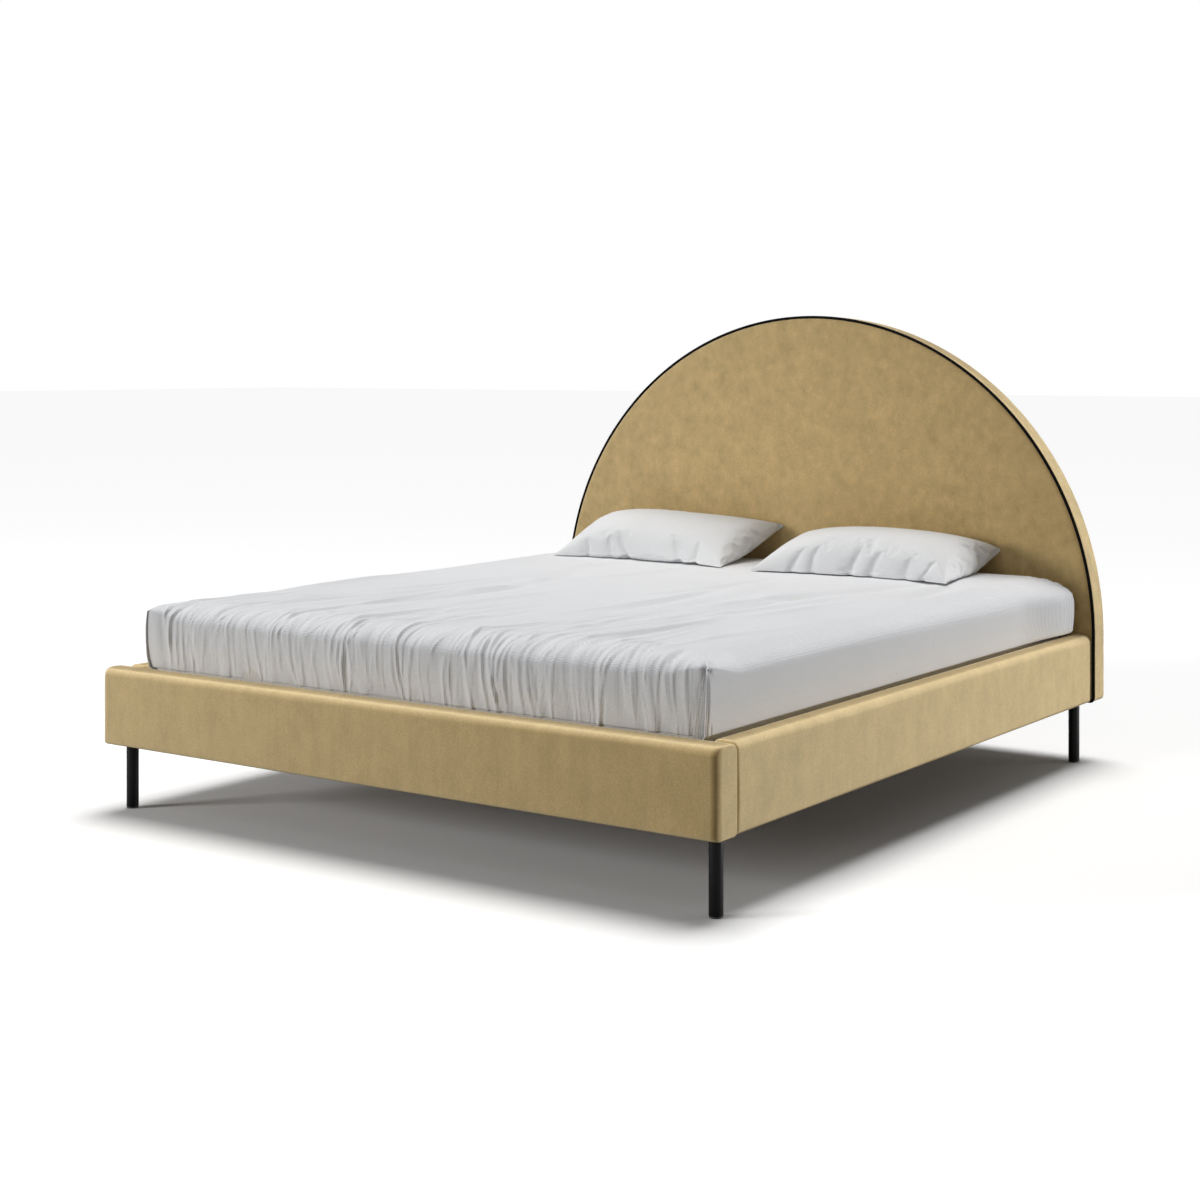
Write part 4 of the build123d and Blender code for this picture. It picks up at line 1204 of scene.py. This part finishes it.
hanger_low, hanger_high = corners("beam_hangers")
ledge_low, ledge_high = corners("right_ledge")
small_spots, small_axes = [], []
for end_y, inward in ((hanger_low[1], 1.0), (hanger_high[1], -1.0)):
    for side in (-1.0, 1.0):
        for drop in (0.016, 0.044):
            small_spots.append((side * (hanger_high[0] - 0.013), end_y + inward * 0.003, hanger_high[2] - drop))
            small_axes.append((0.0, inward, 0.0))
for side in (-1.0, 1.0):
    for y_spot in np.linspace(ledge_low[1] + 0.09, ledge_high[1] - 0.09, 5):
        small_spots.append((side * ledge_low[0], y_spot, (ledge_low[2] + ledge_high[2]) / 2))
        small_axes.append((-side, 0.0, 0.0))
wood_heights = (0.0, 0.0009, 0.0018, 0.0025, 0.0028, 0.0013)
wood_radii = (0.0045, 0.0044, 0.0037, 0.0024, 0.0014, 0.0011)
screw_heads("wood_screws", small_spots, small_axes, wood_heights, wood_radii, (0, 0, 0, 0, 1, 1))


# %% [markdown]
# The velvet and the backing are stapled to the back of the frame. A staple is a short round wire
# that lies along the edge with both ends bent in, one every four centimetres.

# %% Staples
backing_high = corners("headboard_backing")[1]
wire = 0.0006
staple_pitch = 0.04
bends = np.array([-0.005, -0.0045, 0.0045, 0.005])
bend_depths = np.array([wire, 0.0, 0.0, wire])[:, None]
staple_line = headboard_outline(half_headboard - backing_high[0] + 0.006)
staple_run = distance_along(staple_line)
staple_at = np.arange(0.02, staple_run[-1] - 0.02, staple_pitch)[:, None] + bends
staple_path = np.stack([np.interp(staple_at, staple_run, staple_line[:, k]) for k in (0, 1)], -1)
staple_way = staple_path[:, 3] - staple_path[:, 0]
staple_way /= np.linalg.norm(staple_way, axis=1, keepdims=True)
staple_side = np.stack([-staple_way[:, 1], staple_way[:, 0]], -1)[:, None, None]
staple_plan = staple_path[:, :, None] + wire * staple_side * np.cos(circle(8))[:, None]
staple_depth = backing_high[1] + 0.0003 - bend_depths + wire * np.sin(circle(8))
staple_depth = np.broadcast_to(staple_depth, staple_plan.shape[:3])
staples = np.stack([staple_plan[..., 0], staple_depth, staple_plan[..., 1]], -1)
staple_faces = shell_faces(staples, wrap_columns=True, caps=True)
mesh_piece("staples", staples, staple_faces, bright_zinc, "frame")


# %% [markdown]
# The solids that stay in view need a real finish too. Most of them are only seen when the
# mattress is lifted out, or from behind.

# %% Finishes of the solids that stay
solid_finishes = (
    (slat_beech, "left_slats", "right_slats"),
    (long_timber, "left_ledge", "right_ledge", "centre_beam", "left_rail_core", "right_rail_core"),
    (cross_timber, "foot_rail_core", "headboard_posts", "headboard_foot_member"),
    (cross_timber, "headboard_rim", "headboard_uprights"),
    (frame_board, "headboard_front_board", "headboard_back_board"),
    (backing_cloth, "headboard_backing"),
    (holder_plastic, "left_slat_holders", "right_slat_holders", "centre_slat_holders"),
    (bracket_paint, "corner_brackets", "beam_hangers"),
)
for finish, *node_names in solid_finishes:
    for node_name in node_names:
        nodes[node_name].data.materials.clear()
        nodes[node_name].data.materials.append(finish)
print(sum(len(row) - 1 for row in solid_finishes), "solids keep their own shape")


# %% [markdown]
# The studio is a white floor that runs out to the horizon under a white sky. A broad soft light
# hangs above and a little behind the bed, so the shadow falls under it and slightly forward. A
# large panel at the front left lights the foot and the left of everything, a low one at the right
# lifts the long side, and a faint one the headboard. The camera sees floor and sky as white by
# their colour, and the bed is lit at a plain level.

# %% Studio
sky_level = 0.13
key_level = 2.32
key_spread = np.radians(34)
key_tilt = np.radians(15)
key_lean = np.radians(3)
floor_bounce = 0.22
floor_white = 1.12
floor_reach = 60.0


def seen_by_eye(tree):
    """One for camera, glossy and transmission rays, which show the background, and else nought."""
    rays = add_node(tree, "ShaderNodeLightPath").outputs
    mirrored = maths(tree, "MAXIMUM", rays["Is Glossy Ray"], rays["Is Transmission Ray"])
    return maths(tree, "MAXIMUM", rays["Is Camera Ray"], mirrored)


world = bpy.data.worlds.new("studio")
bpy.context.scene.world = world
world.use_nodes = True
tree = world.node_tree
tree.nodes.clear()
strength = remap(tree, seen_by_eye(tree), 0.0, 1.0, sky_level, 1.0)
background = add_node(tree, "ShaderNodeBackground", {"Color": colour(1, 1, 1), "Strength": strength})
add_node(tree, "ShaderNodeOutputWorld", {"Surface": background.outputs[0]})


def lamp(name, kind, **settings):
    """A lamp of a kind, with its settings."""
    data = bpy.data.lights.new(name, kind)
    for key, value in settings.items():
        setattr(data, key, value)
    made = bpy.data.objects.new(name, data)
    bpy.context.scene.collection.objects.link(made)
    return made


def soft_panel(name, place, target, watts, width, height, spread=180):
    """A flat lamp that faces a target, and that no camera sees."""
    form = {"shape": "RECTANGLE", "size": width, "size_y": height, "spread": np.radians(spread)}
    panel = lamp(name, "AREA", energy=watts, **form)
    panel.location = place
    panel.rotation_euler = (Vector(target) - Vector(place)).to_track_quat("-Z", "Y").to_euler()
    panel.visible_camera = False


lamp("key", "SUN", energy=key_level, angle=key_spread).rotation_euler = (-key_tilt, -key_lean, 0.0)
soft_panel("left_panel", (-6.0, -7.5, 2.4), (0.0, -0.5, 0.45), 405, 2.5, 2.0)
soft_panel("right_panel", (6.8, 5.0, 0.22), (0.9, 0.0, 0.45), 330, 3.0, 0.4)
soft_panel("headboard_panel", (-0.6, -1.1, 2.6), (0.0, 1.0, 0.75), 1.6, 1.6, 0.8, spread=70)


# %% Floor
floor_paint, tree, place = new_finish("studio_floor")
white = remap(tree, seen_by_eye(tree), 0.0, 1.0, floor_bounce, floor_white)
end_finish(floor_paint, "ShaderNodeBsdfDiffuse", {"Color": grey(tree, white)})
floor_mesh = bpy.data.meshes.new("studio_floor")
floor_corners = [(x * floor_reach, y * floor_reach, 0.0) for x, y in ((-1, -1), (1, -1), (1, 1), (-1, 1))]
floor_mesh.from_pydata(floor_corners, [], [(0, 1, 2, 3)])
floor_mesh.materials.append(floor_paint)
floor = bpy.data.objects.new("studio_floor", floor_mesh)
bpy.context.scene.collection.objects.link(floor)
